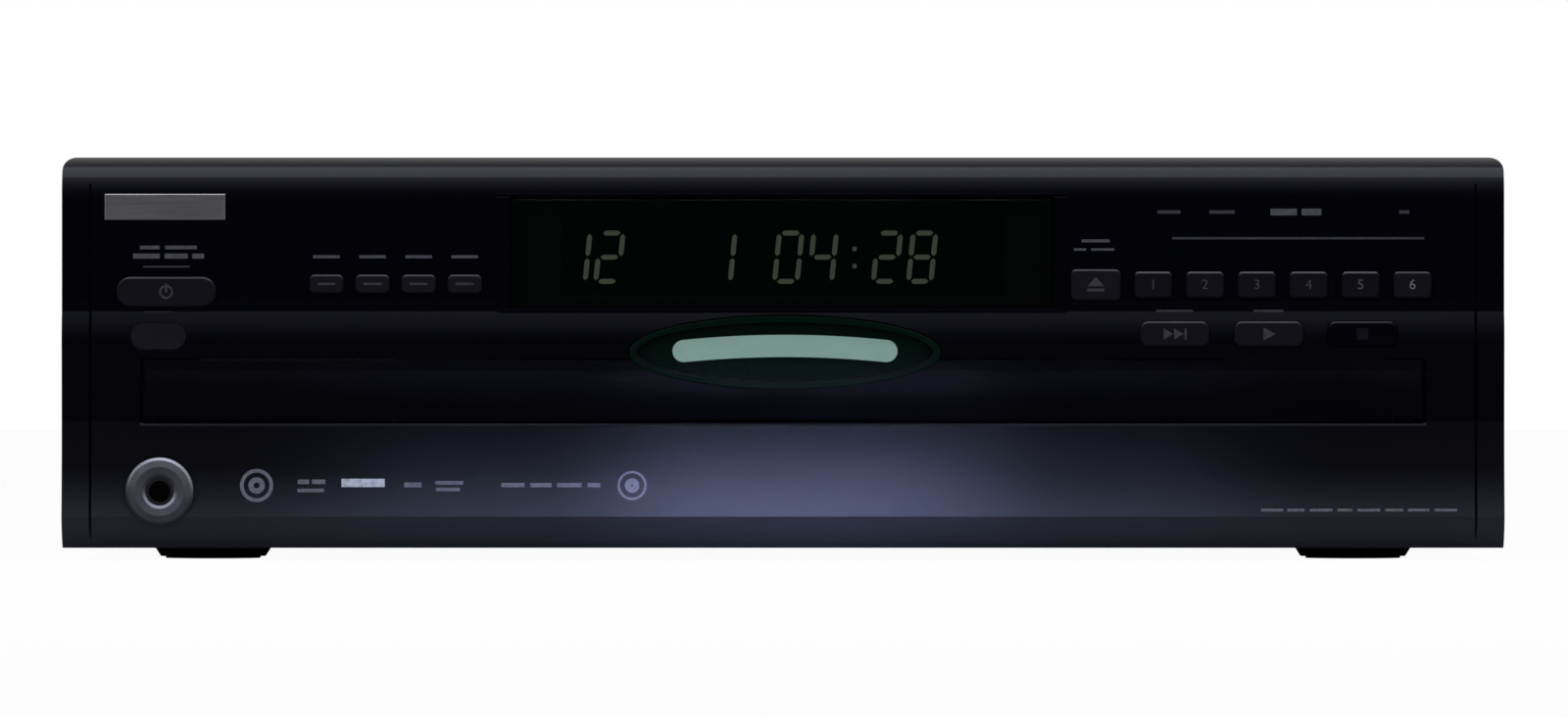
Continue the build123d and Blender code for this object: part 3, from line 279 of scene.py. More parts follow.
# Smoked window: see-through, with smears that make it a little rougher and denser
smoke = dict(colour=(0.0010, 0.0016, 0.0015, 1.0), rough=0.05, roughRamp=((0.45, 0.0), (0.8, 0.09)),
             density=0.42, densityRamp=((0.4, 0.0), (0.9, 0.05)), smearScale=14.0, smearDetail=4.0,
             gloss=0.25)


def smokedPlastic():
    material, finish = newFinish("smokedWindow")
    smears = finish.noise(smoke["smearScale"], smoke["smearDetail"])
    finish.close({
        "Base Color": smoke["colour"],
        "Roughness": smoke["rough"] + finish.ramp(smears, *smoke["roughRamp"]),
        "Alpha": smoke["density"] + finish.ramp(smears, *smoke["densityRamp"]),
        "Specular IOR Level": smoke["gloss"],
    })
    material.surface_render_method = "DITHERED"
    return material


# Display tube: dark glass over a fine square mesh
tube = dict(meshScale=900.0, meshWire=0.02, meshCell=0.5, dark=(0.0012, 0.0024, 0.0018),
            pale=(0.005, 0.008, 0.0065), rough=0.08, smearScale=40.0, smearRough=0.08)


def tubeGlass():
    material, finish = newFinish("displayTube")
    front = finish.put("ShaderNodeMapping", None, {"Vector": finish.place(), "Rotation": (math.pi / 2, 0, 0)})
    grid = finish.put("ShaderNodeTexBrick", {"offset": 0.0}, {
        "Vector": front, "Color1": black, "Color2": black, "Mortar": white, "Scale": tube["meshScale"],
        "Mortar Size": tube["meshWire"], "Brick Width": tube["meshCell"], "Row Height": tube["meshCell"]})
    finish.close({
        "Base Color": finish.tint(grid, tube["dark"], tube["pale"]),
        "Roughness": tube["rough"] + finish.noise(tube["smearScale"]) * tube["smearRough"],
    })
    return material


# Lit plastics and the lens: colour, colour and strength of the glow, roughness
litPlastics = {
    "mintLight": dict(colour=(0.20, 0.335, 0.285), glow=(0.38, 0.62, 0.53), strength=0.055, rough=0.38),
    "digitGlow": dict(colour=(0.10, 0.12, 0.085), glow=(0.62, 0.74, 0.50), strength=0.15, rough=0.4),
    "lensGlass": dict(colour=(0.20, 0.24, 0.40), glow=(0.05, 0.05, 0.10), strength=0.0, rough=0.03),
}
litWear = dict(cloudScale=160.0, cloudDetail=3.0, cloudRough=0.1, dimColour=0.85, dimGlow=0.9)


def litPlastic(name, colour, glow, strength, rough):
    material, finish = newFinish(name)
    cloud = finish.noise(litWear["cloudScale"], litWear["cloudDetail"])
    finish.close({
        "Base Color": finish.tint(cloud, tuple(litWear["dimColour"] * c for c in colour), colour),
        "Roughness": rough + cloud * litWear["cloudRough"],
        "Emission Color": finish.tint(cloud, tuple(litWear["dimGlow"] * c for c in glow), glow),
        "Emission Strength": strength,
    })
    return material


# Printed and moulded-in colours: colour and, for the sockets' plastic, a lower roughness
inks = {
    "printGrey": dict(colour=(0.050, 0.052, 0.068)),
    "printMid": dict(colour=(0.105, 0.112, 0.150)),
    "printDim": dict(colour=(0.024, 0.026, 0.036)),
    "printPale": dict(colour=(0.40, 0.44, 0.53)),
    "socketRed": dict(colour=(0.42, 0.02, 0.02), rough=0.3),
    "socketWhite": dict(colour=(0.70, 0.70, 0.66), rough=0.3),
}
inkWear = dict(rough=0.5, wearScale=900.0, wearDetail=3.0, wearRamp=((0.3, 0.0), (0.6, 1.0)), wornColour=0.6,
               wearRough=0.12, bump=0.3, depth=0.00001)


def printedInk(name, colour, rough=inkWear["rough"]):
    material, finish = newFinish(name)
    wear = finish.noise(inkWear["wearScale"], inkWear["wearDetail"])
    wearAndSheen = tuple(inkWear["wornColour"] * c for c in colour)
    finish.close({
        "Base Color": finish.tint(finish.ramp(wear, *inkWear["wearRamp"]), wearAndSheen, colour),
        "Roughness": rough + wear * inkWear["wearRough"],
        "Normal": finish.bump(wear, inkWear["bump"], inkWear["depth"]),
    })
    return material


# Circuit board: green lacquer over a brick pattern that stands for the copper tracks
board = dict(trackScale=160.0, trackGap=0.05, trackLength=1.4, trackWidth=0.45, trackShift=0.35, trackEvery=3,
             trackTone=(0.35, 0.35, 0.35, 1), trackShare=0.5, weaveScale=700.0, weaveDetail=3.0,
             weaveShare=0.3, weaveRough=0.18, dark=(0.016, 0.085, 0.035), pale=(0.06, 0.24, 0.09),
             rough=0.30, bump=0.4, depth=0.00003)


def circuitBoard():
    material, finish = newFinish("circuitBoard")
    tracks = finish.put("ShaderNodeTexBrick", {
        "offset": board["trackShift"], "offset_frequency": board["trackEvery"]}, {
        "Vector": finish.place(), "Color1": black, "Color2": board["trackTone"], "Mortar": white,
        "Scale": board["trackScale"], "Mortar Size": board["trackGap"], "Brick Width": board["trackLength"],
        "Row Height": board["trackWidth"]})
    weave = finish.noise(board["weaveScale"], board["weaveDetail"])
    lacquer = tracks * board["trackShare"] + weave * board["weaveShare"]
    finish.close({
        "Base Color": finish.tint(lacquer, board["dark"], board["pale"]),
        "Roughness": board["rough"] + weave * board["weaveRough"],
        "Normal": finish.bump(tracks, board["bump"], board["depth"]),
    })
    return material


# Coil: yellow cloth tape wound in turns
tape = dict(turnScale=60.0, turnBend=0.6, turnDetail=2.0, turnShare=0.6, clothScale=900.0, clothDetail=3.0,
            clothShare=0.3, dark=(0.44, 0.30, 0.06), pale=(0.78, 0.60, 0.16), rough=0.42, clothRough=0.25,
            clothBump=0.4, bump=0.5, depth=0.0001)


def coilTape():
    material, finish = newFinish("coilTape")
    turns = finish.put("ShaderNodeTexWave", {"bands_direction": "Z"}, {
        "Vector": finish.place(), "Scale": tape["turnScale"], "Distortion": tape["turnBend"],
        "Detail": tape["turnDetail"]})
    cloth = finish.noise(tape["clothScale"], tape["clothDetail"])
    threads = turns * tape["turnShare"] + cloth * tape["clothShare"]
    finish.close({
        "Base Color": finish.tint(threads, tape["dark"], tape["pale"]),
        "Roughness": tape["rough"] + cloth * tape["clothRough"],
        "Normal": finish.bump(turns + cloth * tape["clothBump"], tape["bump"], tape["depth"]),
    })
    return material


# Capacitors: blue sleeve with a bare metal top
sleeve = dict(topRamp=((0.8, 0.0), (0.9, 1.0)), topShare=0.95, topMetal=0.9, speckScale=500.0,
              speckDetail=3.0, speckShare=0.05, speckRough=0.12, blue=(0.012, 0.018, 0.07),
              bare=(0.62, 0.62, 0.62), rough=0.25)


def blueSleeve():
    material, finish = newFinish("blueSleeve")
    top = finish.ramp(finish.facingUp(), *sleeve["topRamp"])
    speck = finish.noise(sleeve["speckScale"], sleeve["speckDetail"])
    amount = top * sleeve["topShare"] + speck * sleeve["speckShare"]
    finish.close({
        "Base Color": finish.tint(amount, sleeve["blue"], sleeve["bare"]),
        "Metallic": top * sleeve["topMetal"],
        "Roughness": sleeve["rough"] + speck * sleeve["speckRough"],
    })
    return material


finishes = {name: mouldedPlastic(name, **values) for name, values in plastics.items()}
finishes.update({name: workedMetal(name, **values) for name, values in metals.items()})
finishes["panelSatin"] = panelFinish()
finishes["smokedWindow"] = smokedPlastic()
finishes["displayTube"] = tubeGlass()
finishes.update({name: litPlastic(name, **values) for name, values in litPlastics.items()})
finishes.update({name: printedInk(name, **values) for name, values in inks.items()})
finishes["circuitBoard"] = circuitBoard()
finishes["coilTape"] = coilTape()
finishes["blueSleeve"] = blueSleeve()
print("finishes made", len(finishes))

slotFinishes = {
    "panel_plastic": "panelBlack", "black_steel": "paintedSteel", "plated_steel": "platedSteel",
    "smoked_window": "smokedWindow", "display_glass": "displayTube", "sensor_plastic": "sensorBlack",
    "circuit_board": "circuitBoard", "socket_plastic": "socketBlack", "laminated_core": "laminations",
    "coil_wrap": "coilTape", "can_sleeve": "blueSleeve", "sink_aluminium": "finAluminium",
    "foot_plastic": "panelBlack", "pad_rubber": "padRubber", "screw_steel": "darkScrew",
    "motor_can": "motorCan", "belt_rubber": "padRubber", "grey_plastic": "drawerGrey",
    "dish_plastic": "dishGreen", "mint_lens": "mintLight", "gear_plastic": "gearWhite",
    "tray_plastic": "trayBlack", "cap_plastic": "capGrey", "pulley_brass": "turnedBrass",
    "black_moulding": "trayBlack", "rod_steel": "groundRod", "sled_metal": "castSled",
    "lens_glass": "lensGlass", "key_plastic": "keyBlack",
}
# Nodes that look unlike the rest of their slot
nodeFinishes = {"front_panel": "panelSatin", "drawer_front": "drawerBlack", "stop_button": "panelBlack"}
nodeFinishes.update({"disc_button_%d" % number: "keyDark" for number in range(1, 6)})
for entry in frame["record"]["subparts"]:
    part = frame["nodes"][entry["node"]]
    finishName = nodeFinishes.get(entry["node"], slotFinishes[entry["material_slot"]])
    part.data.materials.clear()
    part.data.materials.append(finishes[finishName])
print("frame dressed", len(frame["nodes"]))


def makePiece(name, shape, finishName, body):
    # Every new piece ends here: normals set, mesh written, material and body given.
    bmesh.ops.recalc_face_normals(shape, faces=shape.faces)
    mesh = bpy.data.meshes.new(name)
    shape.to_mesh(mesh)
    shape.free()
    piece = bpy.data.objects.new(name, mesh)
    bpy.context.scene.collection.objects.link(piece)
    mesh.materials.append(finishes[finishName])
    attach(piece, body)


def edgesOf(verts):
    return list({edge for vert in verts for edge in vert.link_edges})


def thicken(shape, faces, depth):
    # Gives flat faces a thickness along Y, in millimetres.
    made = bmesh.ops.extrude_face_region(shape, geom=faces)
    moved = [item for item in made["geom"] if isinstance(item, bmesh.types.BMVert)]
    bmesh.ops.translate(shape, verts=moved, vec=(0, depth * mm, 0))


def addPlate(shape, centre, size, bevel=0.0, segments=2):
    # Box with its edges bevelled, sizes in millimetres.
    place = Matrix.Translation(Vector(centre) * mm) @ Matrix.Diagonal((*[s * mm for s in size], 1.0))
    made = bmesh.ops.create_cube(shape, size=1.0, matrix=place)
    if bevel:
        bmesh.ops.bevel(shape, geom=edgesOf(made["verts"]), offset=bevel * mm, affect="EDGES",
                        segments=segments, profile=0.5, material=-1)


def addCut(shape, points, front, back):
    # Flat shape drawn in X and Z, given thickness towards the back.
    verts = [shape.verts.new((x * mm, front * mm, z * mm)) for x, z in points]
    thicken(shape, [shape.faces.new(verts)], back - front)


upFront = Matrix.Rotation(math.pi / 2, 4, "X")
ringSides = 40


def addRing(shape, centre, outer, inner, front, back):
    # Flat ring that faces the front.
    turn = Matrix.Translation(Vector((centre[0], front, centre[1])) * mm) @ upFront
    rim = bmesh.ops.create_circle(shape, radius=outer * mm, segments=ringSides, matrix=turn)
    hole = bmesh.ops.create_circle(shape, radius=inner * mm, segments=ringSides, matrix=turn)
    made = bmesh.ops.bridge_loops(shape, edges=edgesOf(rim["verts"] + hole["verts"]))
    thicken(shape, made["faces"], back - front)


panelFront = -209.0

# Bare plate at the upper left; its root is sunk in the panel
barePlate = dict(centre=(-186.4, 106.4), size=(36.4, 8.0), stand=0.35, root=0.4, bevel=0.3)
plateX, plateZ = barePlate["centre"]
plateW, plateH = barePlate["size"]
shape = bmesh.new()
addPlate(shape, (plateX, panelFront - barePlate["stand"] / 2 + barePlate["root"] / 2, plateZ),
         (plateW, barePlate["stand"] + barePlate["root"], plateH), barePlate["bevel"])
makePiece("barePlate", shape, "satinSilver", "case")

# Frame round the display window: two upright sides, and a thinner strip above and below
window = dict(centre=(-0.3, 92.6), inner=(164.4, 34.0))
windowX, windowZ = window["centre"]
halfW, halfH = window["inner"][0] / 2, window["inner"][1] / 2
windowFrame = dict(side=3.6, stand=0.5, root=0.2, sideBevel=0.4, strip=1.0, stripPlace=0.15, stripThick=0.5,
                   stripBevel=0.15)
sideY = panelFront - windowFrame["stand"] / 2 + windowFrame["root"] / 2
stripY = panelFront - windowFrame["stripPlace"]
shape = bmesh.new()
for sign in (-1, 1):
    addPlate(shape, (windowX + sign * (halfW + windowFrame["side"] / 2), sideY, windowZ),
             (windowFrame["side"], windowFrame["stand"] + windowFrame["root"], 2 * halfH),
             windowFrame["sideBevel"])
    addPlate(shape, (windowX, stripY, windowZ + sign * (halfH + windowFrame["strip"] / 2)),
             (2 * halfW + 2 * windowFrame["side"], windowFrame["stripThick"], windowFrame["strip"]),
             windowFrame["stripBevel"])
makePiece("windowFrame", shape, "panelBlack", "case")

# Black mask behind the window, open over the display tube
windowMask = dict(open=(133.0, 26.0), front=-206.0, back=-205.6, gap=0.3, overlap=0.2, bevel=0.1)
openW, openH = windowMask["open"][0] / 2, windowMask["open"][1] / 2
maskY = (windowMask["front"] + windowMask["back"]) / 2
maskThick = windowMask["back"] - windowMask["front"]
gap = windowMask["gap"]
shape = bmesh.new()
for sign in (-1, 1):
    addPlate(shape, (windowX + sign * (openW + halfW - gap) / 2, maskY, windowZ),
             (halfW - gap - openW, maskThick, 2 * halfH - 2 * gap), windowMask["bevel"], 1)
    addPlate(shape, (windowX, maskY, windowZ + sign * (openH + halfH - gap) / 2),
             (2 * openW + windowMask["overlap"], maskThick, halfH - gap - openH), windowMask["bevel"], 1)
makePiece("windowMask", shape, "maskBlack", "case")

# Lit digits behind the window: the middle of each and its figure, and two square dots
digits = dict(z=91.3, height=14.6, width=6.8, bar=1.5, gap=0.4, slant=0.10, front=-205.35, thick=0.15,
              row=((-62.4, "1"), (-52.4, "2"), (-18.6, "1"), (1.6, "0"), (12.0, "4"), (31.4, "2"),
                   (42.0, "8")),
              dotX=21.6, dotRows=(88.6, 93.8), dotSize=1.3, dotPlace=0.08, dotBevel=0.2)
litBars = {"0": "abcdef", "1": "bc", "2": "abged", "4": "fgbc", "8": "abcdefg"}


def addDigit(shape, middle, figure):
    w, h, b = digits["width"] / 2, digits["height"] / 2, digits["bar"] / 2
    gap = b * digits["gap"]
    level = dict(a=h, g=0.0, d=-h)
    for bar in litBars[figure]:
        if bar in level:
            z = level[bar]
            corners = [(-w + b, z), (-w + 2 * b, z + b), (w - 2 * b, z + b), (w - b, z), (w - 2 * b, z - b),
                       (-w + 2 * b, z - b)]
        else:
            x = w if bar in "bc" else -w
            low, high = (gap, h - gap) if bar in "bf" else (-h + gap, -gap)
            corners = [(x, low), (x + b, low + b), (x + b, high - b), (x, high), (x - b, high - b),
                       (x - b, low + b)]
        points = [(middle + x + digits["slant"] * z, digits["z"] + z) for x, z in corners]
        addCut(shape, points, digits["front"], digits["front"] + digits["thick"])


shape = bmesh.new()
for middle, figure in digits["row"]:
    addDigit(shape, middle, figure)
for z in digits["dotRows"]:
    addPlate(shape, (digits["dotX"], digits["front"] + digits["dotPlace"], z),
             (digits["dotSize"], digits["thick"], digits["dotSize"]), digits["dotBevel"], 1)
makePiece("displaySegments", shape, "digitGlow", "case")


def addText(shape, text, centre, size, turn, thick):
    # Generic figures, made a mesh first and then put in place.
    curve = bpy.data.curves.new("figures", "FONT")
    curve.body, curve.size, curve.extrude = text, size * mm, thick * mm / 2
    curve.align_x, curve.align_y = "CENTER", "CENTER"
    thing = bpy.data.objects.new("figures", curve)
    mesh = bpy.data.meshes.new_from_object(thing)
    mesh.transform(Matrix.Translation(Vector(centre) * mm) @ turn)
    shape.from_mesh(mesh)
    bpy.data.objects.remove(thing)
    bpy.data.curves.remove(curve)
    bpy.data.meshes.remove(mesh)


# Lower band of the panel: it leans out and is slightly hollow, so marks on it need its depth at their height
lowerBand = dict(top=41.8, bottom=13.0, face=-210.0, lean=2.0, hollow=0.7)


def bandFace(z):
    share = (lowerBand["top"] - z) / (lowerBand["top"] - lowerBand["bottom"])
    return lowerBand["face"] - lowerBand["lean"] * share + 4 * lowerBand["hollow"] * share * (1 - share)


def layOnBand(shape, height):
    # Moves what was drawn upright at one height onto the leaning face.
    for vert in shape.verts:
        vert.co.y += (bandFace(vert.co.z / mm) - bandFace(height)) * mm


# Plain bars printed on the front, in one list for each tone: middle X, Z, width and height
printed = dict(stand=0.06, thick=0.2)
marks = dict(
    grey=[(-137.7, 91.4, 8.0, 0.9), (-123.8, 91.4, 8.0, 0.9), (-109.9, 91.4, 8.0, 0.9),
          (-96.0, 91.4, 8.0, 0.9), (-192.0, 91.6, 8.0, 1.5), (-183.0, 91.6, 7.0, 1.5),
          (-176.4, 91.6, 3.6, 1.5), (-191.0, 94.2, 6.0, 1.1), (-181.6, 94.2, 9.6, 1.1),
          (94.3, 96.2, 8.4, 0.9), (89.6, 93.6, 3.6, 0.7), (96.4, 93.6, 7.0, 0.7),
          (151.0, 104.9, 8.0, 2.0), (159.4, 104.9, 6.0, 2.0)],
    dim=[(116.4, 104.9, 7.0, 1.0), (132.4, 104.9, 7.6, 1.0), (187.4, 104.9, 3.0, 1.0),
         (118.1, 75.0, 11.0, 0.8), (146.4, 75.0, 9.0, 0.8), (155.4, 97.0, 76.0, 0.7),
         (-188.4, 74.6, 9.0, 0.6), (-186.0, 88.4, 14.0, 0.5)],
    lowPale=[(-126.6, 22.5, 13.0, 3.8)],
    lowGrey=[(-144.6, 23.4, 3.4, 1.6), (-140.0, 23.4, 4.0, 1.6), (-142.4, 20.9, 8.0, 1.1),
             (-111.6, 22.4, 5.2, 1.8), (-100.6, 23.2, 8.4, 1.1), (-101.0, 21.2, 7.2, 1.0),
             (-81.4, 22.4, 7.0, 1.5), (-73.0, 22.4, 6.4, 1.5), (-64.4, 22.4, 7.4, 1.5),
             (-57.0, 22.4, 3.8, 1.5)],
    lowDim=[(x, 14.8, width, 1.2) for x, width in ((147.4, 6.6), (154.6, 5.2), (162.2, 6.8), (169.4, 4.6),
                                                   (176.6, 6.8), (184.2, 5.4), (191.6, 6.4), (199.8, 6.8))],
)
tones = dict(grey="printGrey", dim="printDim", lowPale="printPale", lowGrey="printMid", lowDim="printMid")
for tone, finishName in tones.items():
    shape = bmesh.new()
    for x, z, width, height in marks[tone]:
        face = bandFace(z) if tone.startswith("low") else panelFront
        middle = face + printed["thick"] / 2 - printed["stand"]
        addPlate(shape, (x, middle, z), (width, printed["thick"], height))
    makePiece("printed" + tone[0].upper() + tone[1:], shape, finishName, "case")

# Plain rings on the lower band, all at one height: middle X, outer and inner radius
bandRings = dict(height=22.4, root=0.3, rings=((-158.7, 5.0, 3.9), (-158.7, 2.5, 0.9), (-45.5, 4.4, 3.7),
                                               (-45.5, 2.2, 0.3)))
face = bandFace(bandRings["height"])
shape = bmesh.new()
for x, outer, inner in bandRings["rings"]:
    addRing(shape, (x, bandRings["height"]), outer, inner, face - printed["stand"], face + bandRings["root"])
layOnBand(shape, bandRings["height"])
makePiece("roundBadges", shape, "printMid", "case")

# Signs and figures on the keys; each rides on its own key
keySigns = dict(thick=0.12, size=4.2, stand=0.05, bar=(5.4, 0.14, 0.7), barPlace=0.05, ring=(2.1, 1.5))
signFinishes = {"disc_button_5": "printGrey", "disc_button_6": "printMid", "stop_button": "keyDark"}
signs = {
    "play_button": [[(-1.6, -2.0), (-1.6, 2.0), (2.2, 0.0)]],
    "stop_button": [[(-1.7, -1.7), (-1.7, 1.7), (1.7, 1.7), (1.7, -1.7)]],
    "skip_button": [[(-3.4, -1.7), (-3.4, 1.7), (-0.4, 0.0)], [(-0.2, -1.7), (-0.2, 1.7), (2.8, 0.0)],
                    [(2.9, -1.7), (2.9, 1.7), (3.6, 1.7), (3.6, -1.7)]],
    "open_button": [[(-2.6, -0.4), (0.0, 2.4), (2.6, -0.4)],
                    [(-2.6, -2.0), (-2.6, -1.1), (2.6, -1.1), (2.6, -2.0)]],
    "standby_button": [[(-0.35, -0.2), (-0.35, 2.6), (0.35, 2.6), (0.35, -0.2)]],
}


def keyFace(node):
    low, high = (Vector(corner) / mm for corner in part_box(node))
    return (low.x + high.x) / 2, low.y - keySigns["stand"], (low.z + high.z) / 2


def finishKey(node, shape):
    makePiece("sign_" + node, shape, signFinishes.get(node, "printDim"), node)


for number in range(1, 7):
    node = "disc_button_%d" % number
    shape = bmesh.new()
    addText(shape, str(number), keyFace(node), keySigns["size"], upFront, keySigns["thick"])
    finishKey(node, shape)
for number in range(1, 5):
    node = "mode_button_%d" % number
    x, y, z = keyFace(node)
    shape = bmesh.new()
    addPlate(shape, (x, y + keySigns["barPlace"], z), keySigns["bar"])
    finishKey(node, shape)
for node, outlines in signs.items():
    x, y, z = keyFace(node)
    shape = bmesh.new()
    for points in outlines:
        addCut(shape, [(x + dx, z + dz) for dx, dz in points], y, y + keySigns["thick"])
    if node == "standby_button":
        addRing(shape, (x, z), *keySigns["ring"], y, y + keySigns["thick"])
    finishKey(node, shape)

# Metal ring round the headphone socket, domed like a turned washer. Its section is given by radius and depth.
phonesRing = dict(centre=(-187.9, 20.6), front=-212.4, steps=64,
                  section=((4.3, 0.5), (4.3, -0.1), (5.2, -0.55), (7.4, -0.75), (9.4, -0.5), (10.2, 0.1),
                           (10.2, 1.2)))
ringX, ringZ = phonesRing["centre"]
shape = bmesh.new()
line = [shape.verts.new(((ringX + radius) * mm, (phonesRing["front"] + depth) * mm, ringZ * mm))
        for radius, depth in phonesRing["section"]]
edges = [shape.edges.new(pair) for pair in zip(line, line[1:])]
edges.append(shape.edges.new((line[-1], line[0])))
bmesh.ops.spin(shape, geom=line + edges, cent=Vector((ringX, 0, ringZ)) * mm, axis=(0, 1, 0),
               angle=2 * math.pi, steps=phonesRing["steps"], use_merge=True)
makePiece("phonesRing", shape, "ringSteel", "case")

# Rim round the oval on the drawer
ovalRim = dict(centre=(0.6, 62.5), outer=(47.0, 11.0), inner=(44.6, 9.0), front=-212.25, back=-211.6,
               sides=96, bevel=0.25, sharpAngle=1.0)
ovalX, ovalZ = ovalRim["centre"]
turn = Matrix.Translation(Vector((ovalX, ovalRim["front"], ovalZ)) * mm) @ upFront
shape = bmesh.new()
loops = []
for across, up in (ovalRim["outer"], ovalRim["inner"]):
    oval = turn @ Matrix.Diagonal((across, up, 1.0, 1.0))
    loops += bmesh.ops.create_circle(shape, radius=mm, segments=ovalRim["sides"], matrix=oval)["verts"]
made = bmesh.ops.bridge_loops(shape, edges=edgesOf(loops))
thicken(shape, made["faces"], ovalRim["back"] - ovalRim["front"])
sharp = [edge for edge in shape.edges if edge.calc_face_angle(0.0) > ovalRim["sharpAngle"]]
bmesh.ops.bevel(shape, geom=sharp, offset=ovalRim["bevel"] * mm, affect="EDGES", segments=2, profile=0.5,
                material=-1)
makePiece("ovalRim", shape, "dishGreen", "drawer")

# Figures and pointers on the carousel's middle, one for each well
wellMarks = dict(count=6, start=90, centreY=-15.4, top=59.3, lift=0.05, thick=0.14, ring=47.0, size=9.0,
                 pointer=54.5, pointerSize=1.6)
shape = bmesh.new()
for number in range(wellMarks["count"]):
    angle = math.radians(wellMarks["start"] + 360 // wellMarks["count"] * number)
    z = wellMarks["top"] + wellMarks["lift"]
    x = wellMarks["ring"] * math.cos(angle)
    y = wellMarks["centreY"] + wellMarks["ring"] * math.sin(angle)
    facing = Matrix.Rotation(angle + math.pi / 2, 4, "Z")
    addText(shape, str(number + 1), (x, y, z), wellMarks["size"], facing, wellMarks["thick"])
    tip = bmesh.ops.create_cone(shape, cap_ends=True, segments=3, radius1=wellMarks["pointerSize"] * mm,
                                radius2=wellMarks["pointerSize"] * mm, depth=wellMarks["thick"] * mm)
    reach = Vector((wellMarks["pointer"] * math.cos(angle),
                    wellMarks["centreY"] + wellMarks["pointer"] * math.sin(angle), z))
    bmesh.ops.transform(shape, verts=tip["verts"],
                        matrix=Matrix.Translation(reach * mm) @ Matrix.Rotation(angle - math.pi / 2, 4, "Z"))
makePiece("wellFigures", shape, "printPale", "carousel")

# Washers and barrels of the rear sockets: outer and inner radius, and how far each runs from the face
rearSockets = dict(columns=(120.0, 138.0), rows=(70.0, 88.0), face=206.0, washer=(6.2, 4.35),
                   washerReach=(-0.1, 0.5), barrel=(4.5, 4.22), barrelReach=(-0.2, 5.9))
washers = {"washersRed": "socketRed", "washersWhite": "socketWhite"}


def addSocketRings(shape, row, radii, reach):
    front, back = (rearSockets["face"] + step for step in reach)
    for x in rearSockets["columns"]:
        addRing(shape, (x, row), *radii, front, back)


for row, (name, finishName) in zip(rearSockets["rows"], washers.items()):
    shape = bmesh.new()
    addSocketRings(shape, row, rearSockets["washer"], rearSockets["washerReach"])
    makePiece(name, shape, finishName, "case")
shape = bmesh.new()
for row in rearSockets["rows"]:
    addSocketRings(shape, row, rearSockets["barrel"], rearSockets["barrelReach"])
makePiece("socketBarrels", shape, "groundRod", "case")
print("front marks made")

# Plain studio in metres: pale floor, soft lamps and a straight front view
studio = dict(
    floorSize=14.0, floorDrop=-0.0001, floorColour=0.80, floorGlow=0.95, floorMirror=0.07,
    cameraHeight=0.0607, cameraAcross=0.0003, front=-0.21, distance=4.0, frameWidth=0.4728, clipEnd=50.0,
    worldLight=0.45, mirrorSky=((0.0, 0.004), (0.16, 0.03), (0.42, 0.36), (0.80, 1.0)),
)
shape = bmesh.new()
bmesh.ops.create_grid(shape, x_segments=1, y_segments=1, size=studio["floorSize"] / 2)
mesh = bpy.data.meshes.new("floor")
shape.to_mesh(mesh)
shape.free()
for vert in mesh.vertices:
    vert.co.z = studio["floorDrop"]
floor = bpy.data.objects.new("floor", mesh)
bpy.context.scene.collection.objects.link(floor)
material, finish = newFinish("floorPale")
ray = finish.put("ShaderNodeLightPath", output="Is Camera Ray")
gloss = finish.put("ShaderNodeLightPath", output="Is Glossy Ray")
shade = gloss * (studio["floorMirror"] - studio["floorColour"]) + studio["floorColour"]
dull = finish.put("ShaderNodeBsdfDiffuse", None, {"Color": shade})
glow = finish.put("ShaderNodeEmission", None, {"Color": white, "Strength": 1.0})
mixed = finish.put("ShaderNodeMixShader", None, {0: ray * studio["floorGlow"], 1: dull, 2: glow})
finish.put("ShaderNodeOutputMaterial", None, {"Surface": mixed})
mesh.materials.append(material)

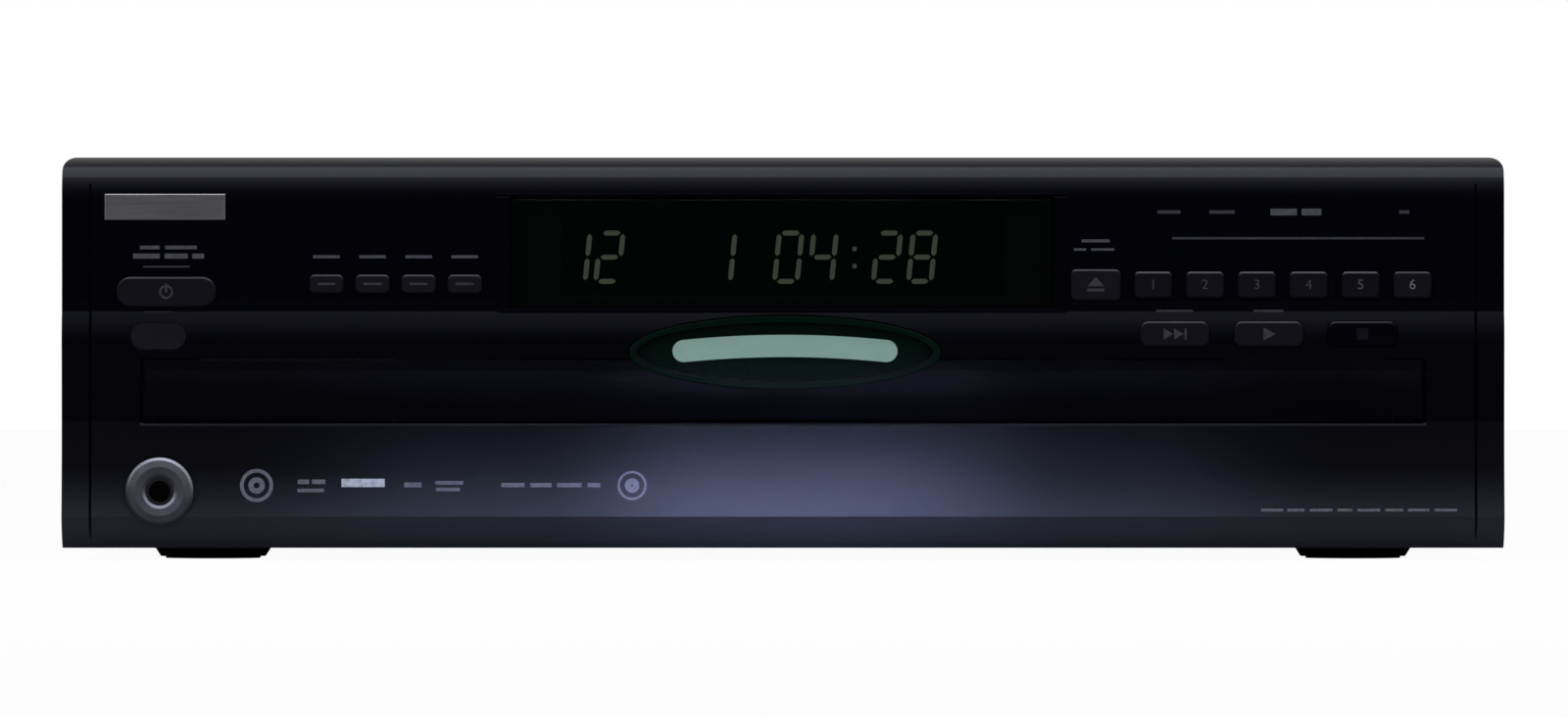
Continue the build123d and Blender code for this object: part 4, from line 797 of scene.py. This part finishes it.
world = bpy.data.worlds.new("studioWorld")
bpy.context.scene.world = world
world.use_nodes = True
sky = Finish(world.node_tree)
seen, through, mirrored = (sky.put("ShaderNodeLightPath", output=name)
                           for name in ("Is Camera Ray", "Is Transmission Ray", "Is Glossy Ray"))
height = sky.upright(sky.put("ShaderNodeTexCoord", output="Generated"))
rise = sky.ramp(height, *studio["mirrorSky"])
strength = seen + through + mirrored * rise + (1.0 - seen - through - mirrored) * studio["worldLight"]
light = sky.put("ShaderNodeBackground", None, {"Color": white, "Strength": strength})
sky.put("ShaderNodeOutputWorld", None, {"Surface": light})

# Lamps: two narrow strips light the lower band and the panel's lower edge, three wide ones light the rest
lamps = {
    "bandLamp": dict(place=(0.006, -0.60, 0.132), aim=(0.006, -0.21, 0.019), size=(0.10, 0.012), watts=0.016,
                     colour=(0.62, 0.68, 1.0), spread=12.0),
    "leftLamp": dict(place=(-1.5, -1.3, 0.9), aim=(0.0, 0.0, 0.05), size=(0.8, 0.8), watts=6.0,
                     colour=(0.95, 0.96, 1.0)),
    "rightLamp": dict(place=(1.5, -1.2, 0.9), aim=(0.0, 0.0, 0.05), size=(0.8, 0.8), watts=6.0,
                      colour=(0.95, 0.96, 1.0)),
    "skirtLamp": dict(place=(0.0, -0.60, 0.132), aim=(0.0, -0.21, 0.018), size=(0.26, 0.012), watts=0.011,
                      colour=(0.58, 0.68, 1.0), spread=12.0),
    "topLamp": dict(place=(0.0, -0.55, 1.5), aim=(0.0, -0.15, 0.05), size=(1.8, 1.0), watts=17.0,
                    colour=(0.92, 0.90, 1.0)),
}
for name, lamp in lamps.items():
    data = bpy.data.lights.new(name, "AREA")
    data.shape = "RECTANGLE"
    data.size, data.size_y = lamp["size"]
    data.energy = lamp["watts"]
    data.color = lamp["colour"]
    data.spread = math.radians(lamp.get("spread", 180.0))
    thing = bpy.data.objects.new(name, data)
    thing.location = lamp["place"]
    thing.rotation_euler = (Vector(lamp["aim"]) - Vector(lamp["place"])).to_track_quat("-Z", "Y").to_euler()
    thing.visible_camera = False
    bpy.context.scene.collection.objects.link(thing)

camera = bpy.data.objects.new("frontCamera", bpy.data.cameras.new("frontCamera"))
camera.data.lens = camera.data.sensor_width * studio["distance"] / studio["frameWidth"]
camera.data.clip_end = studio["clipEnd"]
camera.location = (studio["cameraAcross"], studio["front"] - studio["distance"], studio["cameraHeight"])
camera.rotation_euler = (math.pi / 2, 0, 0)
bpy.context.scene.collection.objects.link(camera)
bpy.context.scene.camera = camera
bpy.context.scene.view_settings.view_transform = "Standard"
print("studio set")
